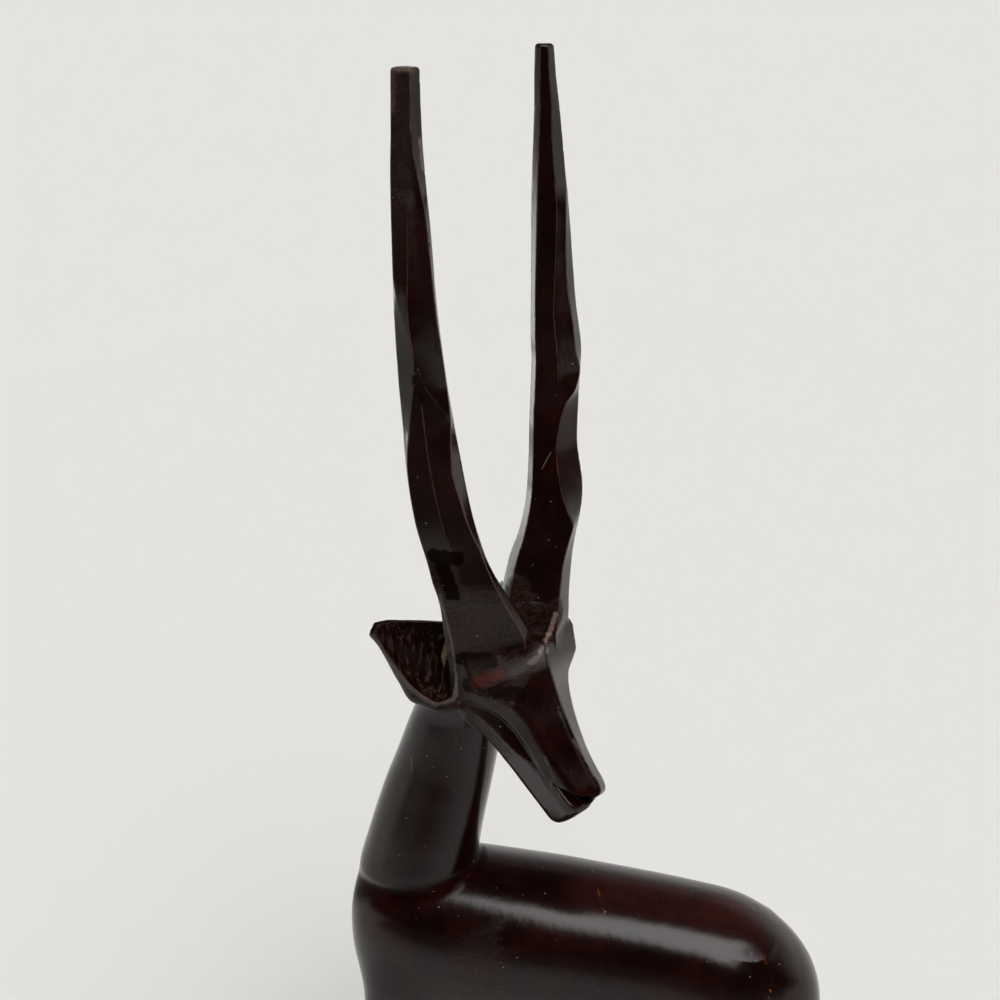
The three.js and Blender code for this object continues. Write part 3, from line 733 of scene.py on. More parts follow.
def figure_forms():
    """Every form with the fillet that joins it to those before it."""
    forms = [(body(), 0)]
    for mirror in (1, -1):
        forms.append((limb(FORELEG, LEG_POWER, mirror), LEG_BLEND))
        forms.append((limb(HIND_LEG, LEG_POWER, mirror), LEG_BLEND))
    forms.append((limb(TAIL, TAIL_POWER), TAIL_BLEND))
    forms.append((plinth(), PLINTH_BLEND))
    forms.append((limb(NECK, NECK_POWER), NECK_BLEND))
    skull = head()
    skull.field = carved_head(skull.field)
    forms.append((skull, HEAD_BLEND))
    for side in (1, -1):
        forms.append((hollow_ear(side), EAR_BLEND))
    forms.append((horn(-1, RIGHT_HORN, RIGHT_FLATS), HORN_BLEND))
    forms.append((horn(1, LEFT_HORN, LEFT_FLATS), HORN_BLEND))
    return forms


FORMS = figure_forms()


def joined(whole, new, blend):
    """The figure so far with one more form's field."""
    new = np.minimum(new, FAR)
    return join(whole, new, blend) if blend else np.minimum(whole, new)


def field_at(points):
    """The figure's field at scattered points."""
    value = np.full(len(points), FAR)
    for form, blend in FORMS:
        near = np.all(
            (points > form.low - MARGIN) & (points < form.high + MARGIN), axis=1
        )
        if near.any():
            value[near] = joined(value[near], form.field(*points[near].T), blend)
    return value


def field_on(axes):
    """The figure's field on the corners of a grid."""
    value = np.full([len(a) for a in axes], FAR, np.float32)
    for form, blend in FORMS:
        spans = tuple(
            slice(
                np.searchsorted(a, form.low[k] - MARGIN),
                np.searchsorted(a, form.high[k] + MARGIN),
            )
            for k, a in enumerate(axes)
        )
        x, y, z = [a[s] for a, s in zip(axes, spans)]
        new = form.field(x[:, None, None], y[None, :, None], z[None, None, :])
        value[spans] = joined(value[spans], new, blend)
    return value


# How far from a carved edge the paint of its wear is worked out
EDGE_REACH = 3.0
HORN_FOOT = 186


def horn_edge_distance(points, side, rows, flats):
    """Distance to the nearest edge between a horn's front flats, in millimetres."""
    level, across, front, size = horn_place(side, rows)(*points.T)
    outline = horn_outline(flats)
    heights = [row[0] for row in flats]
    least = np.full(len(points), EDGE_REACH)
    for k in range(1, (len(flats[0]) + 1) // 2):
        run_out = [EDGE_REACH if row[2 * k] == 0 else 0.0 for row in flats]
        cx, cy = outline[2 * k](level), outline[2 * k + 1](level)
        away = np.hypot(across - cx, front - cy) * size + np.interp(level, heights, run_out)
        least = np.minimum(least, away)
    return np.where(points[:, 2] > HORN_FOOT, least, EDGE_REACH)


def ear_fields(points):
    """The fields of each ear's leaf and hollow at scattered points."""
    for side in (1, -1):
        leaf = ear(side, EAR_LEAF, 0).field(*points.T)
        hollow = ear(side, EAR_HOLLOW, EAR_HOLLOW_LIFT).field(*points.T)
        yield leaf, hollow


def edge_distance(points):
    """Distance to the nearest worn edge of the horns and ears, in millimetres."""
    least = horn_edge_distance(points, -1, RIGHT_HORN, RIGHT_FLATS)
    least = np.minimum(least, horn_edge_distance(points, 1, LEFT_HORN, LEFT_FLATS))
    for leaf, hollow in ear_fields(points):
        least = np.minimum(least, np.hypot(leaf, hollow))
    return least


def fade(value, start, stop):
    """0 at start and beyond, 1 at stop and beyond, with a soft passage between."""
    share = np.clip((value - start) / (stop - start), 0, 1)
    return share * share * (3 - 2 * share)


# The passages of the rough and the unwaxed places, from 0 to 1: on a horn as shares
# across and forward and as heights, on the head along the nose, to the left and
# outwards, and in space as heights, places along X and distances
HORN_SIDES = (1.25, 1.1)
HORN_FACE = (0, 0.4)
RASPED_ROOT_TOP = (206, 202.5)
RASPED_ROOT_FOOT = (172, 176)
RASPED_TIP = (262, 292)
RASPED_TIP_SIDE = (0.5, 0.2)
BROW_FLATNESS = (0.8, 0.3)
BROW_LENGTH = (9, 7)
BROW_LEFT = (4, 1)
BROW_TOP = (194, 190)
DULL_BROW = (-6.5, -10)
NOSE_START = (13, 18)
NOSE_LEFT = (1.4, 0)
NOSE_TOP = (-8, -5)
NECK_CREASE = (3.5, 1.5)
NECK_CREASE_END = (-18, -24)
SPLIT_WIDTH = (3.6, 2.2)
EAR_RIM_TOP = (185.5, 183.5)


def rasped(points):
    """Where the wood was left rough from the rasp: 1 is rough, 0 is polished."""
    level, across, front, _ = horn_place(-1, RIGHT_HORN)(*points.T)
    on_horn = fade(np.abs(across), *HORN_SIDES)
    root = on_horn * fade(front, *HORN_FACE)
    root = root * fade(level, *RASPED_ROOT_TOP) * fade(level, *RASPED_ROOT_FOOT)
    tip = on_horn * fade(level, *RASPED_TIP) * fade(across, *RASPED_TIP_SIDE)
    rough = np.maximum(np.maximum(root, tip), on_brow(points) * 0.8)
    return np.maximum(np.maximum(rough, split(points)), in_ear(points))


def above_brow(n, s, t):
    """Distance out from the flat cut across the brow."""
    return sum(a * (p - q) for a, p, q in zip(BROW_FACING, (n, s, t), BROW_POINT))


def on_brow(points):
    """1 on the flat cut across the brow, 0 elsewhere."""
    n, s, t = head_place(*points.T)
    flat = fade(np.abs(above_brow(n, s, t)), *BROW_FLATNESS)
    flat = flat * fade(np.abs(n), *BROW_LENGTH)
    return flat * fade(s, *BROW_LEFT) * fade(points[:, 2], *BROW_TOP)


# The valley of split fibres between the horns, and the cleft behind it
SPLIT = [
    np.array([(-14.5, -20.5, 186.3), (-5.5, -12.2, 193.5)]),
    np.array([(-16.5, -12, 199), (-12, -13.6, 192.5), (-9, -15, 189)]),
]


def split(points):
    """1 in the split valley where the horns part, 0 elsewhere."""
    least = np.full(len(points), np.inf)
    for line in SPLIT:
        for start, end in zip(line, line[1:]):
            way = end - start
            share = np.clip((points - start).dot(way) / way.dot(way), 0, 1)
            away = np.linalg.norm(points - start - share[:, None] * way, axis=1)
            least = np.minimum(least, away)
    return fade(least, *SPLIT_WIDTH)


def unwaxed(points):
    """Where the wood lost its sheen: hollows of the ears, brow, nose and split valley."""
    n, s, t = head_place(*points.T)
    brow = on_brow(points) * fade(s, *DULL_BROW) * 0.85
    nose = fade(n, *NOSE_START) * fade(s, *NOSE_LEFT) * fade(t, *NOSE_TOP)
    trunk, neck = body(), limb(NECK, NECK_POWER)
    away = np.hypot(trunk.field(*points.T), neck.field(*points.T))
    crease = fade(away, *NECK_CREASE) * fade(points[:, 0], *NECK_CREASE_END)
    bare = np.maximum(np.maximum(brow, nose), np.maximum(split(points) * 0.9, crease))
    return np.maximum(bare, in_ear(points))


def in_ear(points):
    """1 on the walls of the ears' hollows, 0 elsewhere."""
    share = np.zeros(len(points))
    for leaf, hollow in ear_fields(points):
        share = np.maximum(share, fade(np.abs(hollow), 1.2, 0.6) * fade(leaf, 0.1, -0.3))
    return share


def ear_rim(points):
    """1 on the bevelled lower rims of the ears, 0 elsewhere."""
    share = np.zeros(len(points))
    for leaf, hollow in ear_fields(points):
        near = fade(np.hypot(leaf, np.maximum(hollow, 0)), 1.2, 0.7)
        share = np.maximum(share, near * fade(-hollow, 0.3, 0))
    return share * fade(points[:, 2], *EAR_RIM_TOP)


SPREAD = np.array([[1, -1, -1], [-1, -1, 1], [-1, 1, -1], [1, 1, 1]], float)


def slopes_at(points, reach=0.04):
    """The field's direction of steepest rise, as unit vectors."""
    total = np.zeros_like(points)
    for way in SPREAD:
        total += way * field_at(points + way * reach)[:, None]
    return total / np.maximum(np.linalg.norm(total, axis=1, keepdims=True), 1e-9)


def crossed_edges(value, axes):
    """The grid's edges that cross the surface, with the four cells about each."""
    solid = value < 0
    crossings, cells = [], []
    for axis in range(3):
        lower = [slice(None)] * 3
        upper = [slice(None)] * 3
        lower[axis], upper[axis] = slice(0, -1), slice(1, None)
        a, b = solid[tuple(lower)], solid[tuple(upper)]
        at = np.argwhere(a != b)
        inside_first = a[tuple(at.T)]
        step = np.zeros(3, int)
        step[axis] = 1
        others = [(axis + 1) % 3, (axis + 2) % 3]
        start = np.stack([axes[k][at[:, k]] for k in range(3)], 1)
        stop = np.stack([axes[k][at[:, k] + step[k]] for k in range(3)], 1)
        low = value[tuple(at.T)].astype(float)
        high = value[tuple((at + step).T)].astype(float)
        crossings.append((start, stop, low, high))
        corner = []
        for i, j in ((0, 0), (1, 0), (1, 1), (0, 1)):
            cell = at.copy()
            cell[:, others[0]] -= i
            cell[:, others[1]] -= j
            corner.append(np.ravel_multi_index(cell.T, value.shape))
        corner = np.stack(corner, 1)
        corner[~inside_first] = corner[~inside_first][:, ::-1]
        cells.append(corner)
    return [np.concatenate(part) for part in zip(*crossings)], np.concatenate(cells)


def crossing_points(start, stop, low, high):
    """Where the surface crosses edges whose ends have the fields low and high."""
    a, b = np.zeros(len(start)), np.ones(len(start))
    for _ in range(3):
        share = a + (b - a) * low / (low - high)
        share = np.clip(share, a + 0.02 * (b - a), b - 0.02 * (b - a))
        found = field_at(start + (stop - start) * share[:, None])
        same = (found < 0) == (low < 0)
        a, low = np.where(same, share, a), np.where(same, found, low)
        b, high = np.where(same, b, share), np.where(same, high, found)
    share = a + (b - a) * low / (low - high)
    return start + (stop - start) * share[:, None]


# How strongly a cell's point is held to the middle of its crossings
HOLD = 0.05


def surface(axes):
    """The field's zero surface as points and four-sided faces, keeping its edges."""
    value = field_on(axes)
    crossings, cells = crossed_edges(value, axes)
    points = crossing_points(*crossings)
    normals = slopes_at(points)
    used, faces = np.unique(cells, return_inverse=True)
    faces = faces.reshape(cells.shape)
    owner = faces.ravel()
    weight = np.repeat(np.arange(len(points)), 4)
    count = np.bincount(owner, minlength=len(used)).astype(float)

    def gather(values):
        return np.bincount(owner, weights=values[weight], minlength=len(used))

    mean = np.stack([gather(points[:, k]) for k in range(3)], 1) / count[:, None]
    matrix = np.empty((len(used), 3, 3))
    for i in range(3):
        for j in range(i, 3):
            matrix[:, i, j] = matrix[:, j, i] = gather(normals[:, i] * normals[:, j])
    offset = (normals * points).sum(1)
    right = np.stack([gather(normals[:, k] * offset) for k in range(3)], 1)
    right -= np.einsum("nij,nj->ni", matrix, mean)
    matrix += np.eye(3) * HOLD
    moved = np.linalg.solve(matrix, right[:, :, None])[:, :, 0]
    cell = np.stack(np.unravel_index(used, value.shape), 1)
    low_corner = np.stack([axes[k][cell[:, k]] for k in range(3)], 1)
    high_corner = np.stack([axes[k][cell[:, k] + 1] for k in range(3)], 1)
    return np.clip(mean + moved, low_corner, high_corner), faces


# The grid's cells, in millimetres, from the throat up; below it they are larger
FINE_CELL = 0.45
LOW_CELLS = 1.5
MOST_TRIANGLES = 190000


def grid_axes(fine):
    """Grid lines around the figure, closer together from the throat up."""
    xs = np.arange(-68.1, 68.6, fine)
    ys = np.arange(-34.13, 31.5, fine)
    low, high = np.arange(-1.07, 120, fine * LOW_CELLS), np.arange(120.2, 315.4, fine)
    return xs, ys, np.concatenate([low, high])


def raw_mesh(name, points, faces):
    """A mesh from arrays of points in metres and of faces."""
    sides = faces.shape[1]
    mesh = bpy.data.meshes.new(name)
    mesh.vertices.add(len(points))
    mesh.vertices.foreach_set("co", points.astype(np.float32).ravel())
    mesh.loops.add(faces.size)
    mesh.loops.foreach_set("vertex_index", faces.astype(np.int32).ravel())
    mesh.polygons.add(len(faces))
    starts = (np.arange(len(faces)) * sides).astype(np.int32)
    mesh.polygons.foreach_set("loop_start", starts)
    mesh.update(calc_edges=True)
    mesh.validate()
    return mesh


def thinned(mesh, most):
    """The mesh in triangles, at most that many."""
    carrier = bpy.data.objects.new("thinning", mesh)
    bpy.context.scene.collection.objects.link(carrier)
    corners = np.empty(len(mesh.polygons), np.int32)
    mesh.polygons.foreach_get("loop_total", corners)
    triangles = int((corners - 2).sum())
    if triangles > most:
        carrier.modifiers.new("thin", "DECIMATE").ratio = most / triangles
    carrier.modifiers.new("triangles", "TRIANGULATE")
    shown = carrier.evaluated_get(bpy.context.evaluated_depsgraph_get())
    result = bpy.data.meshes.new_from_object(shown)
    bpy.data.objects.remove(carrier)
    return result


def mesh_arrays(mesh):
    points = np.empty(len(mesh.vertices) * 3, np.float32)
    mesh.vertices.foreach_get("co", points)
    corners = np.empty(len(mesh.loops), np.int32)
    mesh.loops.foreach_get("vertex_index", corners)
    return points.reshape(-1, 3).astype(float), corners.reshape(-1, 3)


def add_attribute(mesh, name, values):
    attribute = mesh.attributes.new(name, "FLOAT", "POINT")
    attribute.data.foreach_set("value", values.astype(np.float32))


def smooth_normals(places, corners):
    """A normal for each triangle's corner from the field, or flat where it strays."""
    corner_places = places[corners]
    middles = corner_places.mean(1, keepdims=True)
    inset = corner_places * 0.8 + middles * 0.2
    normals = slopes_at(inset.reshape(-1, 3))
    first, second, third = corner_places.transpose(1, 0, 2)
    flat = np.cross(second - first, third - first)
    flat /= np.maximum(np.linalg.norm(flat, axis=1, keepdims=True), 1e-12)
    flat = np.repeat(flat, 3, axis=0)
    astray = (normals * flat).sum(1) < 0.5
    normals[astray] = flat[astray]
    return normals


def build_figure():
    points, faces = surface(grid_axes(FINE_CELL))
    mesh = thinned(raw_mesh("rough", points * MM, faces), MOST_TRIANGLES)
    mesh.name = "gazelle"
    places, corners = mesh_arrays(mesh)
    places /= MM
    mesh.normals_split_custom_set(smooth_normals(places, corners))
    for painted in (edge_distance, rasped, in_ear, unwaxed, ear_rim):
        add_attribute(mesh, painted.__name__, painted(places))
    return mesh


figure = bpy.data.objects.new("carved_gazelle", build_figure())
bpy.context.scene.collection.objects.link(figure)
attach(figure, "root")
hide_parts("gazelle_figure")


# Materials
class Nodes:
    """Short ways to add and link the nodes of one node tree."""

    def __init__(self, tree):
        self.tree = tree

    def add(self, kind, inputs=None, output=0, **settings):
        """Adds a node; each input is a constant or another node's output."""
        node = self.tree.nodes.new("ShaderNode" + kind)
        for name, value in settings.items():
            setattr(node, name, value)
        for socket, value in (inputs or {}).items():
            self.put(value, node.inputs[socket])
        return node.outputs[output]

    def put(self, value, socket):
        if isinstance(value, bpy.types.NodeSocket):
            self.tree.links.new(value, socket)
        else:
            socket.default_value = value

    def math(self, operation, *values):
        return self.add("Math", dict(enumerate(values)), operation=operation)

    def ramp(self, value, start, stop, low=0.0, high=1.0, smooth=True):
        """The value taken from start..stop to low..high, and held beyond them."""
        inputs = {"Value": value, "From Min": start, "From Max": stop}
        inputs |= {"To Min": low, "To Max": high}
        kind = "SMOOTHSTEP" if smooth else "LINEAR"
        return self.add("MapRange", inputs, interpolation_type=kind)

    def noise(self, place, scale, detail=2.0, roughness=0.5, stretch=None):
        """Noise with so many features a metre, drawn out along the axes by stretch."""
        if stretch is not None:
            place = self.add("Mapping", {"Vector": place, "Scale": stretch})
        inputs = {"Vector": place, "Scale": scale, "Detail": detail, "Roughness": roughness}
        return self.add("TexNoise", inputs)

    def along(self, place, way, share):
        """A place told along three axes, the first of them drawn out by that share."""
        first = Vector(way).normalized()
        second = first.orthogonal().normalized()
        axes = (first * share, second, first.cross(second))
        parts = [
            self.add("VectorMath", {0: place, 1: tuple(axis)}, output=1, operation="DOT_PRODUCT")
            for axis in axes
        ]
        return self.add("CombineXYZ", dict(enumerate(parts)))

    def blend(self, share, first, second):
        """A colour that goes from first to second as the share goes from 0 to 1."""
        node = self.tree.nodes.new("ShaderNodeMix")
        node.data_type = "RGBA"
        for value, socket in ((share, 0), (first, 6), (second, 7)):
            self.put(value, node.inputs[socket])
        return node.outputs[2]


def new_material(name):
    material = bpy.data.materials.new(name)
    material.use_nodes = True
    tree = material.node_tree
    return material, Nodes(tree), tree.nodes["Principled BSDF"]


# Colours
WOOD_DARK = (0.0045, 0.0008, 0.0007, 1)
WOOD_RED = (0.014, 0.0028, 0.002, 1)
WOOD_RASPED = (0.022, 0.009, 0.006, 1)
# grey of the painted reflection on the neck
NECK_REFLECTION_GREY = (0.026, 0.02, 0.017, 1)
WOOD_RUDDY = (0.035, 0.009, 0.007, 1)
WOOD_FIBRE = (0.05, 0.033, 0.026, 1)
WOOD_LINE = (0.1, 0.042, 0.03, 1)
WOOD_GREY = (0.13, 0.115, 0.1, 1)
WOOD_PALE = (0.14, 0.09, 0.09, 1)
WOOD_WORN = (0.15, 0.09, 0.06, 1)
WOOD_SPLIT = (0.22, 0.15, 0.13, 1)
WOOD_RUBBED = (0.22, 0.16, 0.11, 1)
# red of the stains, and of a painted ruddy glint under the brow
RED_STAIN_AND_GLINT = (0.1, 0.012, 0.006, 1)
ORANGE_SCRATCH = (0.3, 0.09, 0.02, 1)
PALE_SCRATCH = (0.25, 0.22, 0.2, 1)
DUST = (0.5, 0.48, 0.45, 1)
# black of the nostril's painted shade
NOSTRIL_SHADE = (0, 0, 0, 1)

# Wear and marks as the object shows them, with painted highlights, a painted reflection and
# painted shade among them: a line of places in millimetres, its half width in millimetres,
# its strength and its colour
MARKS = [
    # painted reflection: a grey strip along the left edge of the right horn's foot, down past
    # the ear
    ([(-29.3, -26.3, 202.1), (-27.4, -24.4, 190.7), (-27.2, -23.4, 186.7)], 0.3, 0.4, WOOD_GREY),
    ([(-27.2, -23.4, 186.7), (-26.9, -22.9, 182.8), (-26.2, -24.3, 177.2)], 0.3, 0.5, WOOD_GREY),
    # a rubbed place on the right horn, and its worn tip
    ([(-33.3, -20.3, 297), (-32.7, -20.5, 291.7)], 0.5, 0.8, WOOD_WORN),
    ([(-38.6, -21.3, 311), (-33.4, -20.4, 311)], 0.8, 0.5, WOOD_WORN),
    ([(-38.6, -21.3, 309.6), (-38.6, -21.6, 303)], 0.7, 0.3, WOOD_WORN),
    # a rubbed place inside the right ear
    ([(-30.2, -17, 186), (-30.7, -16.8, 180.6)], 1.1, 0.9, WOOD_RUBBED),
    # split fibres where the horns part
    ([(-6, -12.6, 193.4), (-7.3, -13.9, 189), (-8.5, -19.4, 187.1)], 0.45, 0.7, WOOD_SPLIT),
    ([(-6.9, -17.9, 187), (-10.4, -21.2, 185.3)], 0.5, 0.4, WOOD_SPLIT),
    # a painted ruddy glint under the brow, and stains on the neck
    ([(-22.1, -25.8, 181), (-16.7, -23.7, 183.1)], 1.1, 0.35, RED_STAIN_AND_GLINT),
    ([(-29.8, -10.1, 160.5), (-29.6, -9.9, 156.7)], 0.35, 0.35, RED_STAIN_AND_GLINT),
    ([(-41, -8.1, 151.4), (-40.6, -8.9, 148.4)], 0.25, 0.35, WOOD_WORN),
    # scratches and flecks on the back and flank
    ([(1.9, 2.1, 118.3), (4.5, -6, 117.4), (6.6, -10.8, 114.9)], 0.15, 0.4, ORANGE_SCRATCH),
    ([(-4.2, -16.2, 110.1), (-3.2, -18.8, 99.2)], 0.1, 0.35, ORANGE_SCRATCH),
    ([(46.5, -14.1, 100.9), (46.7, -14.2, 100.5)], 0.18, 0.7, ORANGE_SCRATCH),
    ([(44.6, -10.5, 107.4), (45.2, -11.2, 106.3)], 0.35, 0.5, RED_STAIN_AND_GLINT),
    # a scratch across the left horn
    ([(-10.9, -2.9, 223.9), (-9.1, -1.7, 227.6)], 0.08, 0.4, PALE_SCRATCH),
    # wrinkles on the lips
    ([(-5.8, -28.5, 165.5), (-3.8, -29.7, 162.4), (-4.5, -29.5, 158.7)], 0.1, 0.4, WOOD_GREY),
    ([(-3.6, -29.9, 162), (-2.1, -31.1, 158.6), (-2.9, -29.6, 153.6)], 0.1, 0.35, WOOD_GREY),
    ([(-4, -29.8, 159.7), (-4.3, -29.3, 156.6)], 0.12, 0.35, WOOD_WORN),
    ([(-9.4, -26.7, 166.6), (-7.2, -27.8, 160.7), (-6.3, -27.6, 156.6)], 0.12, 0.45, WOOD_GREY),
    ([(-5.8, -28.4, 166.2), (-5.1, -28.9, 164.8)], 0.3, 0.4, WOOD_PALE),
    # the pale edge of the upper lip, and a painted highlight along the ridge and end of the nose
    ([(-2, -30.1, 159.8), (2.9, -29.9, 156.9)], 0.15, 0.5, WOOD_PALE),
    ([(0.2, -26.2, 169.5), (3.3, -27.6, 165.4), (5.1, -29.5, 163.2)], 0.4, 0.45, WOOD_PALE),
    # the nostril, painted black as shade
    ([(4.1, -31.7, 161.9), (4.6, -31.9, 161.4)], 0.35, 1, NOSTRIL_SHADE),
]
# Broad soft films, told the same way: a painted grey reflection and a ruddy tone of the wood
FILMS = [
    # a painted grey reflection on the neck, and ruddy wood along the back
    ([(-47.2, -11.4, 124.8), (-39.6, -8.3, 154.9)], 5, 0.8, NECK_REFLECTION_GREY),
    ([(4.2, -4, 117), (37.2, -3.5, 113)], 6, 0.7, WOOD_RUDDY),
]
# Painted shade: scooped and hollow places painted black and without sheen, told the same way
SHADES = [
    # painted shade over the outer half of the brow
    ([(-25.5, -23.1, 185.9), (-18.9, -22.6, 185.4)], 1.6, 0.9, WOOD_DARK),
    # painted shade in the scoop over the foot of the right horn
    ([(-30, -27.2, 211.4), (-25.6, -27.3, 211)], 1.8, 0.95, WOOD_DARK),
    ([(-28.6, -26.9, 209.5), (-26.6, -25.9, 202.5)], 1.6, 0.95, WOOD_DARK),
    # painted shade in the eye socket under the brow
    ([(-23.5, -25.3, 180.2), (-12.5, -23.8, 178.6)], 1.7, 0.85, WOOD_DARK),
]
# The ways that the ear's grooves and the brow's scratches run
EAR_GROOVES = (-0.12, 0.65, 0.75)
BROW_SCRATCHES = (0.77, 0.6, 0.21)

# Noises of the wood: features a metre, detail, roughness and, where it is drawn out,
# the stretch along the axes
PATCHES = (60, 3, 0.6)
STREAKS = (420, 3, 0.6, (1, 1, 0.12))
GROOVES = (1100, 3, 0.7)
SCRATCHES = (1500, 3, 0.7)
RAGGED_LINES = (700, 3, 0.6)
BROKEN_LINES = (90, 3, 0.6)
WORN_PATCHES = (260, 4, 0.7)
CLOUDS = (150, 3, 0.6)
CHIPPED_EDGES = (750, 4, 0.75)
FRAYED_EDGES = (1600, 4, 0.7)
SATIN = (2200, 2, 0.5)
GRAIN = (500, 4, 0.65, (1, 1, 0.25))
WAVES = (110, 2, 0.5)

# Sizes in metres
EDGE_RADIUS = 0.00035
SHADE_CHIPPING = 0.0025
SHADE_OUTER = 0.0004
SHADE_INNER = 0.0002
BUMP_DEPTH = 0.0002

DUST_CELLS = 600.0
DUST_SPECK = 0.085
WAX_IOR = 1.38
WAX_LEVEL = 0.5
DULL_LEVEL = -0.46


def stroke(nodes, place, start, end):
    """Distance in metres from a place to a straight stroke."""
    start, end = np.array(start) * MM, np.array(end) * MM
    way = end - start
    from_start = nodes.add("VectorMath", {0: place, 1: tuple(start)}, operation="SUBTRACT")
    step = tuple(way / way.dot(way))
    along = nodes.add("VectorMath", {0: from_start, 1: step}, output=1, operation="DOT_PRODUCT")
    along = nodes.add("Math", {0: along, 1: 1.0}, operation="MULTIPLY", use_clamp=True)
    nearest = nodes.add("VectorMath", {0: tuple(way), "Scale": along}, operation="SCALE")
    return nodes.add("VectorMath", {0: from_start, 1: nearest}, output=1, operation="DISTANCE")


def strokes(nodes, place, table):
    """Each stroke of a table: its distance, and its half width, strength and tint."""
    for line_places, half_width, strength, tint in table:
        for start, end in zip(line_places, line_places[1:]):
            yield stroke(nodes, place, start, end), half_width * MM, strength, tint


def bare_wood(nodes, place, grooves, scored, painted):
    """The wood's own colour: dark with red patches, streaks and paler rough places."""
    patches = nodes.ramp(nodes.noise(place, *PATCHES), 0.4, 0.62)
    streaks = nodes.ramp(nodes.noise(place, *STREAKS), 0.35, 0.7)
    redness = nodes.math("MULTIPLY_ADD", streaks, 0.35, nodes.math("MULTIPLY", patches, 0.65))
    colour = nodes.blend(redness, WOOD_DARK, WOOD_RED)
    fibres = nodes.ramp(scored, 0.42, 0.62)
    colour = nodes.blend(nodes.math("MULTIPLY", painted["rasped"], fibres), colour, WOOD_RASPED)
    long_fibres = nodes.math("MULTIPLY", painted["in_ear"], nodes.ramp(grooves, 0.53, 0.66))
    colour = nodes.blend(long_fibres, colour, WOOD_FIBRE)
    return nodes.blend(nodes.math("MULTIPLY", painted["ear_rim"], 0.5), colour, WOOD_GREY)


def worn_edges(nodes, place, turn, edge, colour):
    """The colour with fine lines where flats meet and paler patches on sharp corners."""
    wander = nodes.math("MULTIPLY_ADD", nodes.noise(place, *RAGGED_LINES), 0.25, edge)
    line = nodes.ramp(wander, 0.38, 0.2)
    broken = nodes.ramp(nodes.noise(place, *BROKEN_LINES), 0.36, 0.5, 0.3, 1.0)
    line = nodes.math("MULTIPLY", line, nodes.ramp(turn, 0.0004, 0.0025))
    colour = nodes.blend(nodes.math("MULTIPLY", line, broken), colour, WOOD_LINE)
    wear = nodes.ramp(nodes.noise(place, *WORN_PATCHES), 0.42, 0.6)
    worn = nodes.math("MULTIPLY", nodes.ramp(turn, 0.02, 0.12), wear)
    return nodes.blend(nodes.math("MULTIPLY", worn, 0.6), colour, WOOD_WORN), worn


def films_and_shades(nodes, place, colour):
    """The colour with its films, a painted reflection among them, and painted shade in hollows,
    and how strong that shade is at each place.
    """
    cloudy = nodes.ramp(nodes.noise(place, *CLOUDS), 0.3, 0.7, 0.6, 1)
    for away, half, strength, tint in strokes(nodes, place, FILMS):
        shown = nodes.ramp(away, half * 1.7, half * 0.5, 0, strength)
        colour = nodes.blend(nodes.math("MULTIPLY", shown, cloudy), colour, tint)
    black = None
    chipped = nodes.math("SUBTRACT", nodes.noise(place, *CHIPPED_EDGES), 0.5)
    for away, half, strength, tint in strokes(nodes, place, SHADES):
        away = nodes.math("MULTIPLY_ADD", chipped, SHADE_CHIPPING, away)
        shown = nodes.ramp(away, half + SHADE_OUTER, half - SHADE_INNER, 0, strength)
        colour = nodes.blend(shown, colour, tint)
        black = shown if black is None else nodes.math("MAXIMUM", black, shown)
    return colour, black


def marked(nodes, place, colour):
    """The colour with its marks, painted highlights, a painted reflection and painted shade
    among them.
    """
    frayed = nodes.noise(place, *FRAYED_EDGES)
    for away, half, strength, tint in strokes(nodes, place, MARKS):
        away = nodes.math("MULTIPLY_ADD", frayed, half * 3, away)
        shown = nodes.ramp(away, half * 3.1, half * 2.1, 0, strength)
        colour = nodes.blend(shown, colour, tint)
    return colour


def dusted(nodes, place, colour):
    """The colour with scattered pale specks."""
    cells = nodes.add("TexVoronoi", {"Vector": place, "Scale": DUST_CELLS, "Randomness": 1.0})
    chosen = nodes.add("SeparateColor", {0: cells.node.outputs["Color"]})
    size = nodes.ramp(chosen, 0.62, 1.0, 0.0, DUST_SPECK, smooth=False)
    speck = nodes.math("LESS_THAN", cells, size)
    return nodes.blend(nodes.math("MULTIPLY", speck, 0.6), colour, DUST)


def carved_bump(nodes, place, scored, rasp, rounded_normal):
    """Grain, tool marks and the slight waves of hand carving."""
    grain = nodes.noise(place, *GRAIN)
    height = nodes.math("MULTIPLY_ADD", nodes.math("MULTIPLY", scored, rasp), 4.0, grain)
    height = nodes.math("MULTIPLY_ADD", nodes.noise(place, *WAVES), 1.5, height)
    inputs = {"Strength": 0.25, "Distance": BUMP_DEPTH}
    return nodes.add("Bump", inputs | {"Height": height, "Normal": rounded_normal})


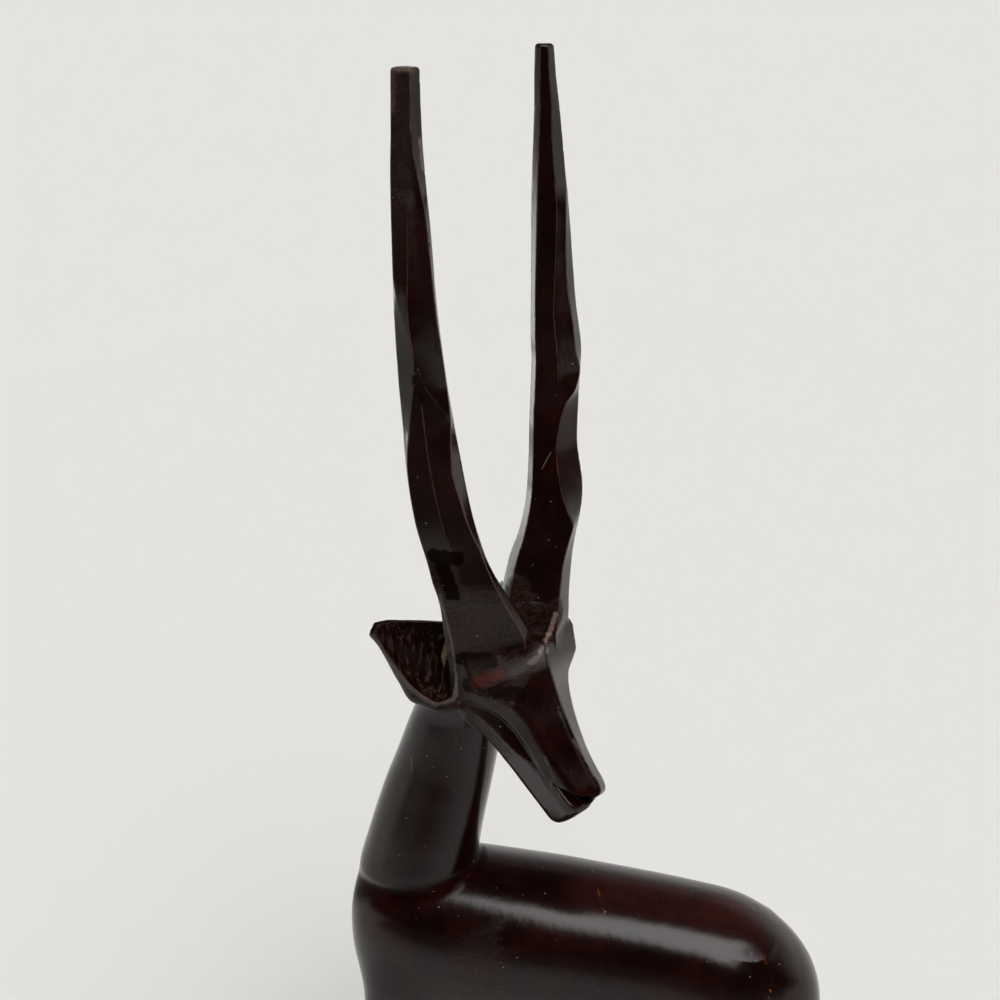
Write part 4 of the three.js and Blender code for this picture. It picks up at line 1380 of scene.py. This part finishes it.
def wood():
    """Almost black red-brown hardwood, waxed, with worn edges, marks, dust, and painted shade
    and highlights.
    """
    material, nodes, shader = new_material("dark_hardwood")
    place = nodes.add("TexCoord", output=3)
    normal = nodes.add("NewGeometry", output=1)
    painted = {
        name: nodes.add("Attribute", output=2, attribute_name=name)
        for name in ("edge_distance", "rasped", "in_ear", "unwaxed", "ear_rim")
    }
    rasp = painted["rasped"]
    rounded_normal = nodes.add("Bevel", {"Radius": EDGE_RADIUS}, samples=4)
    inputs = {0: normal, 1: rounded_normal}
    turned = nodes.add("VectorMath", inputs, output=1, operation="DOT_PRODUCT")
    turn = nodes.math("SUBTRACT", 1.0, turned)
    grooves = nodes.noise(nodes.along(place, EAR_GROOVES, 0.1), *GROOVES)
    scratched = nodes.noise(nodes.along(place, BROW_SCRATCHES, 0.06), *SCRATCHES)
    scored = nodes.add("Mix", {0: painted["in_ear"], 2: scratched, 3: grooves})
    colour = bare_wood(nodes, place, grooves, scored, painted)
    colour, worn = worn_edges(nodes, place, turn, painted["edge_distance"], colour)
    colour, black = films_and_shades(nodes, place, colour)
    colour = dusted(nodes, place, marked(nodes, place, colour))
    nodes.put(colour, shader.inputs["Base Color"])
    # Sheen: satin wax, dull where it was left rasped or has gone
    satin = nodes.ramp(nodes.noise(place, *SATIN), 0.3, 0.7, 0.15, 0.22)
    dull = nodes.math("MULTIPLY_ADD", worn, 0.2, nodes.math("MULTIPLY", rasp, 0.3))
    nodes.put(nodes.math("ADD", satin, dull), shader.inputs["Roughness"])
    shader.inputs["IOR"].default_value = WAX_IOR
    # Less sheen where the wax has gone and under the painted shade
    unlit = nodes.math("MAXIMUM", painted["unwaxed"], black)
    gloss = nodes.math("MULTIPLY_ADD", unlit, DULL_LEVEL, WAX_LEVEL)
    nodes.put(gloss, shader.inputs["Specular IOR Level"])
    nodes.put(carved_bump(nodes, place, scored, rasp, rounded_normal), shader.inputs["Normal"])
    return material


figure.data.materials.append(wood())

# Floor
FLOOR_HALF = 30.0
floor_corners = [(-1, -1), (1, -1), (1, 1), (-1, 1)]
floor_places = np.array([(x * FLOOR_HALF, y * FLOOR_HALF, 0) for x, y in floor_corners])
floor_mesh = raw_mesh("floor", floor_places, np.array([[0, 1, 2, 3]]))
floor = bpy.data.objects.new("floor", floor_mesh)
bpy.context.scene.collection.objects.link(floor)

PAPER_DARKER = (0.84, 0.835, 0.82, 1)
PAPER_LIGHTER = (0.87, 0.865, 0.85, 1)
PAPER_SHADED = (0.12, 0.12, 0.12, 1)
PAPER_FIBRES = (700, 3, 0.6)
# The shade's passages from 0 to 1, forwards and sideways in metres, and how much it
# narrows on its way forwards
SHADE_FORWARDS = (-0.14, -0.46)
SHADE_SIDEWAYS = (0.45, 0.15)
SHADE_WIDENS = 0.9


def paper():
    """Pale matt paper that falls away into shade in front."""
    material, nodes, shader = new_material("floor_paper")
    place = nodes.add("TexCoord", output=3)
    across, deep, _ = nodes.add("SeparateXYZ", {0: place}).node.outputs
    aside = nodes.math("MULTIPLY_ADD", deep, SHADE_WIDENS, nodes.math("ABSOLUTE", across))
    forwards, sideways = nodes.ramp(deep, *SHADE_FORWARDS), nodes.ramp(aside, *SHADE_SIDEWAYS)
    shade = nodes.math("MULTIPLY", forwards, sideways)
    tone = nodes.blend(nodes.noise(place, *PAPER_FIBRES), PAPER_DARKER, PAPER_LIGHTER)
    nodes.put(nodes.blend(shade, tone, PAPER_SHADED), shader.inputs["Base Color"])
    shader.inputs["Roughness"].default_value = 0.9
    shader.inputs["Specular IOR Level"].default_value = 0
    return material


floor_mesh.materials.append(paper())

# World: a pale backdrop behind and beside, a dark room in front, and one broad
# soft light overhead. A direction is told by x to the right, y away from the camera
# and z up; the overhead light's edges by u and v, which are x and y over the height.
SKY_TINT = (1, 0.99, 0.975, 1)
ROOM_LEVEL = 0.02
LIGHT_LEVEL = 5.4
LIGHT_LEFT_SLANT = (0.873, 0.489, 0.489)
LIGHT_LEFT = (-0.1, 0.12)
LIGHT_RIGHT = (1.1, 0.7)
LIGHT_BACK_SLANT = -0.4
LIGHT_BACK = (-0.25, -0.5)
LIGHT_FRONT = (-1.6, -1.15)
LIGHT_LOWEST = (0.2, 0.4)
BACKDROP_LEVEL = 0.95
BACKDROP_FRONT = (-0.2, 0.4)
BACKDROP_TOP = (0.75, 0.1)


def world_light():
    world = bpy.data.worlds.new("studio")
    world.use_nodes = True
    tree = world.node_tree
    tree.nodes.clear()
    nodes = Nodes(tree)
    place = nodes.add("TexCoord", output=0)
    x, y, z = nodes.add("SeparateXYZ", {0: place}).node.outputs
    lifted = nodes.math("MAXIMUM", z, 0.05)
    u = nodes.math("DIVIDE", x, lifted)
    v = nodes.math("DIVIDE", y, lifted)
    by_u, by_v, moved = LIGHT_LEFT_SLANT
    left = nodes.math("MULTIPLY_ADD", u, by_u, nodes.math("MULTIPLY_ADD", v, by_v, moved))
    sides = nodes.math("MULTIPLY", nodes.ramp(left, *LIGHT_LEFT), nodes.ramp(u, *LIGHT_RIGHT))
    back = nodes.math("MULTIPLY_ADD", u, LIGHT_BACK_SLANT, v)
    deep = nodes.math("MULTIPLY", nodes.ramp(back, *LIGHT_BACK), nodes.ramp(v, *LIGHT_FRONT))
    overhead = nodes.math("MULTIPLY", sides, deep)
    overhead = nodes.math("MULTIPLY", overhead, nodes.ramp(z, *LIGHT_LOWEST))
    behind = nodes.ramp(y, *BACKDROP_FRONT)
    backdrop = nodes.math("MULTIPLY", behind, nodes.ramp(z, *BACKDROP_TOP))
    level = nodes.math("MULTIPLY_ADD", overhead, LIGHT_LEVEL, ROOM_LEVEL)
    level = nodes.math("MULTIPLY_ADD", backdrop, BACKDROP_LEVEL, level)
    background = nodes.add("Background", {"Color": SKY_TINT, "Strength": level})
    nodes.put(background, tree.nodes.new("ShaderNodeOutputWorld").inputs[0])
    bpy.context.scene.world = world


world_light()
bpy.context.scene.view_settings.view_transform = "Standard"

# A soft panel at the left, seen only as a reflection in the wax
PANEL_PLACE = (-0.75, 0.42, 0.3)
PANEL_AIM = (0, 0, 0.25)
PANEL_WIDTH = 0.34
PANEL_HEIGHT = 0.56
PANEL_RADIANCE = 3.2
# Soft light from the ceiling that the wax doesn't mirror
CEILING_ENERGY = 0.55
CEILING_ANGLE = math.radians(100)


def side_panel():
    data = bpy.data.lights.new("side_panel", "AREA")
    data.shape = "RECTANGLE"
    data.size = PANEL_WIDTH
    data.size_y = PANEL_HEIGHT
    data.energy = PANEL_RADIANCE * math.pi * PANEL_WIDTH * PANEL_HEIGHT
    panel = bpy.data.objects.new("side_panel", data)
    panel.location = PANEL_PLACE
    way = Vector(PANEL_AIM) - Vector(PANEL_PLACE)
    panel.rotation_euler = way.to_track_quat("-Z", "Y").to_euler()
    panel.visible_camera = False
    panel.visible_diffuse = False
    bpy.context.scene.collection.objects.link(panel)


def ceiling_light():
    data = bpy.data.lights.new("ceiling", "SUN")
    data.energy = CEILING_ENERGY
    data.angle = CEILING_ANGLE
    ceiling = bpy.data.objects.new("ceiling", data)
    ceiling.visible_glossy = False
    bpy.context.scene.collection.objects.link(ceiling)


side_panel()
ceiling_light()

# Camera, at the photograph's viewing angle
CAMERA_PLACE = (0.0361, -0.3230, 0.3343)
CAMERA_PITCH = math.radians(70)
CAMERA_TURN = math.radians(10)
CAMERA_LENS = 55.4
camera_data = bpy.data.cameras.new("camera")
camera_data.lens = CAMERA_LENS
camera_data.sensor_width = 36
camera_data.clip_start = 0.01
camera_data.clip_end = 100
camera = bpy.data.objects.new("camera", camera_data)
camera.location = CAMERA_PLACE
camera.rotation_euler = (CAMERA_PITCH, 0, CAMERA_TURN)
bpy.context.scene.collection.objects.link(camera)
bpy.context.scene.camera = camera
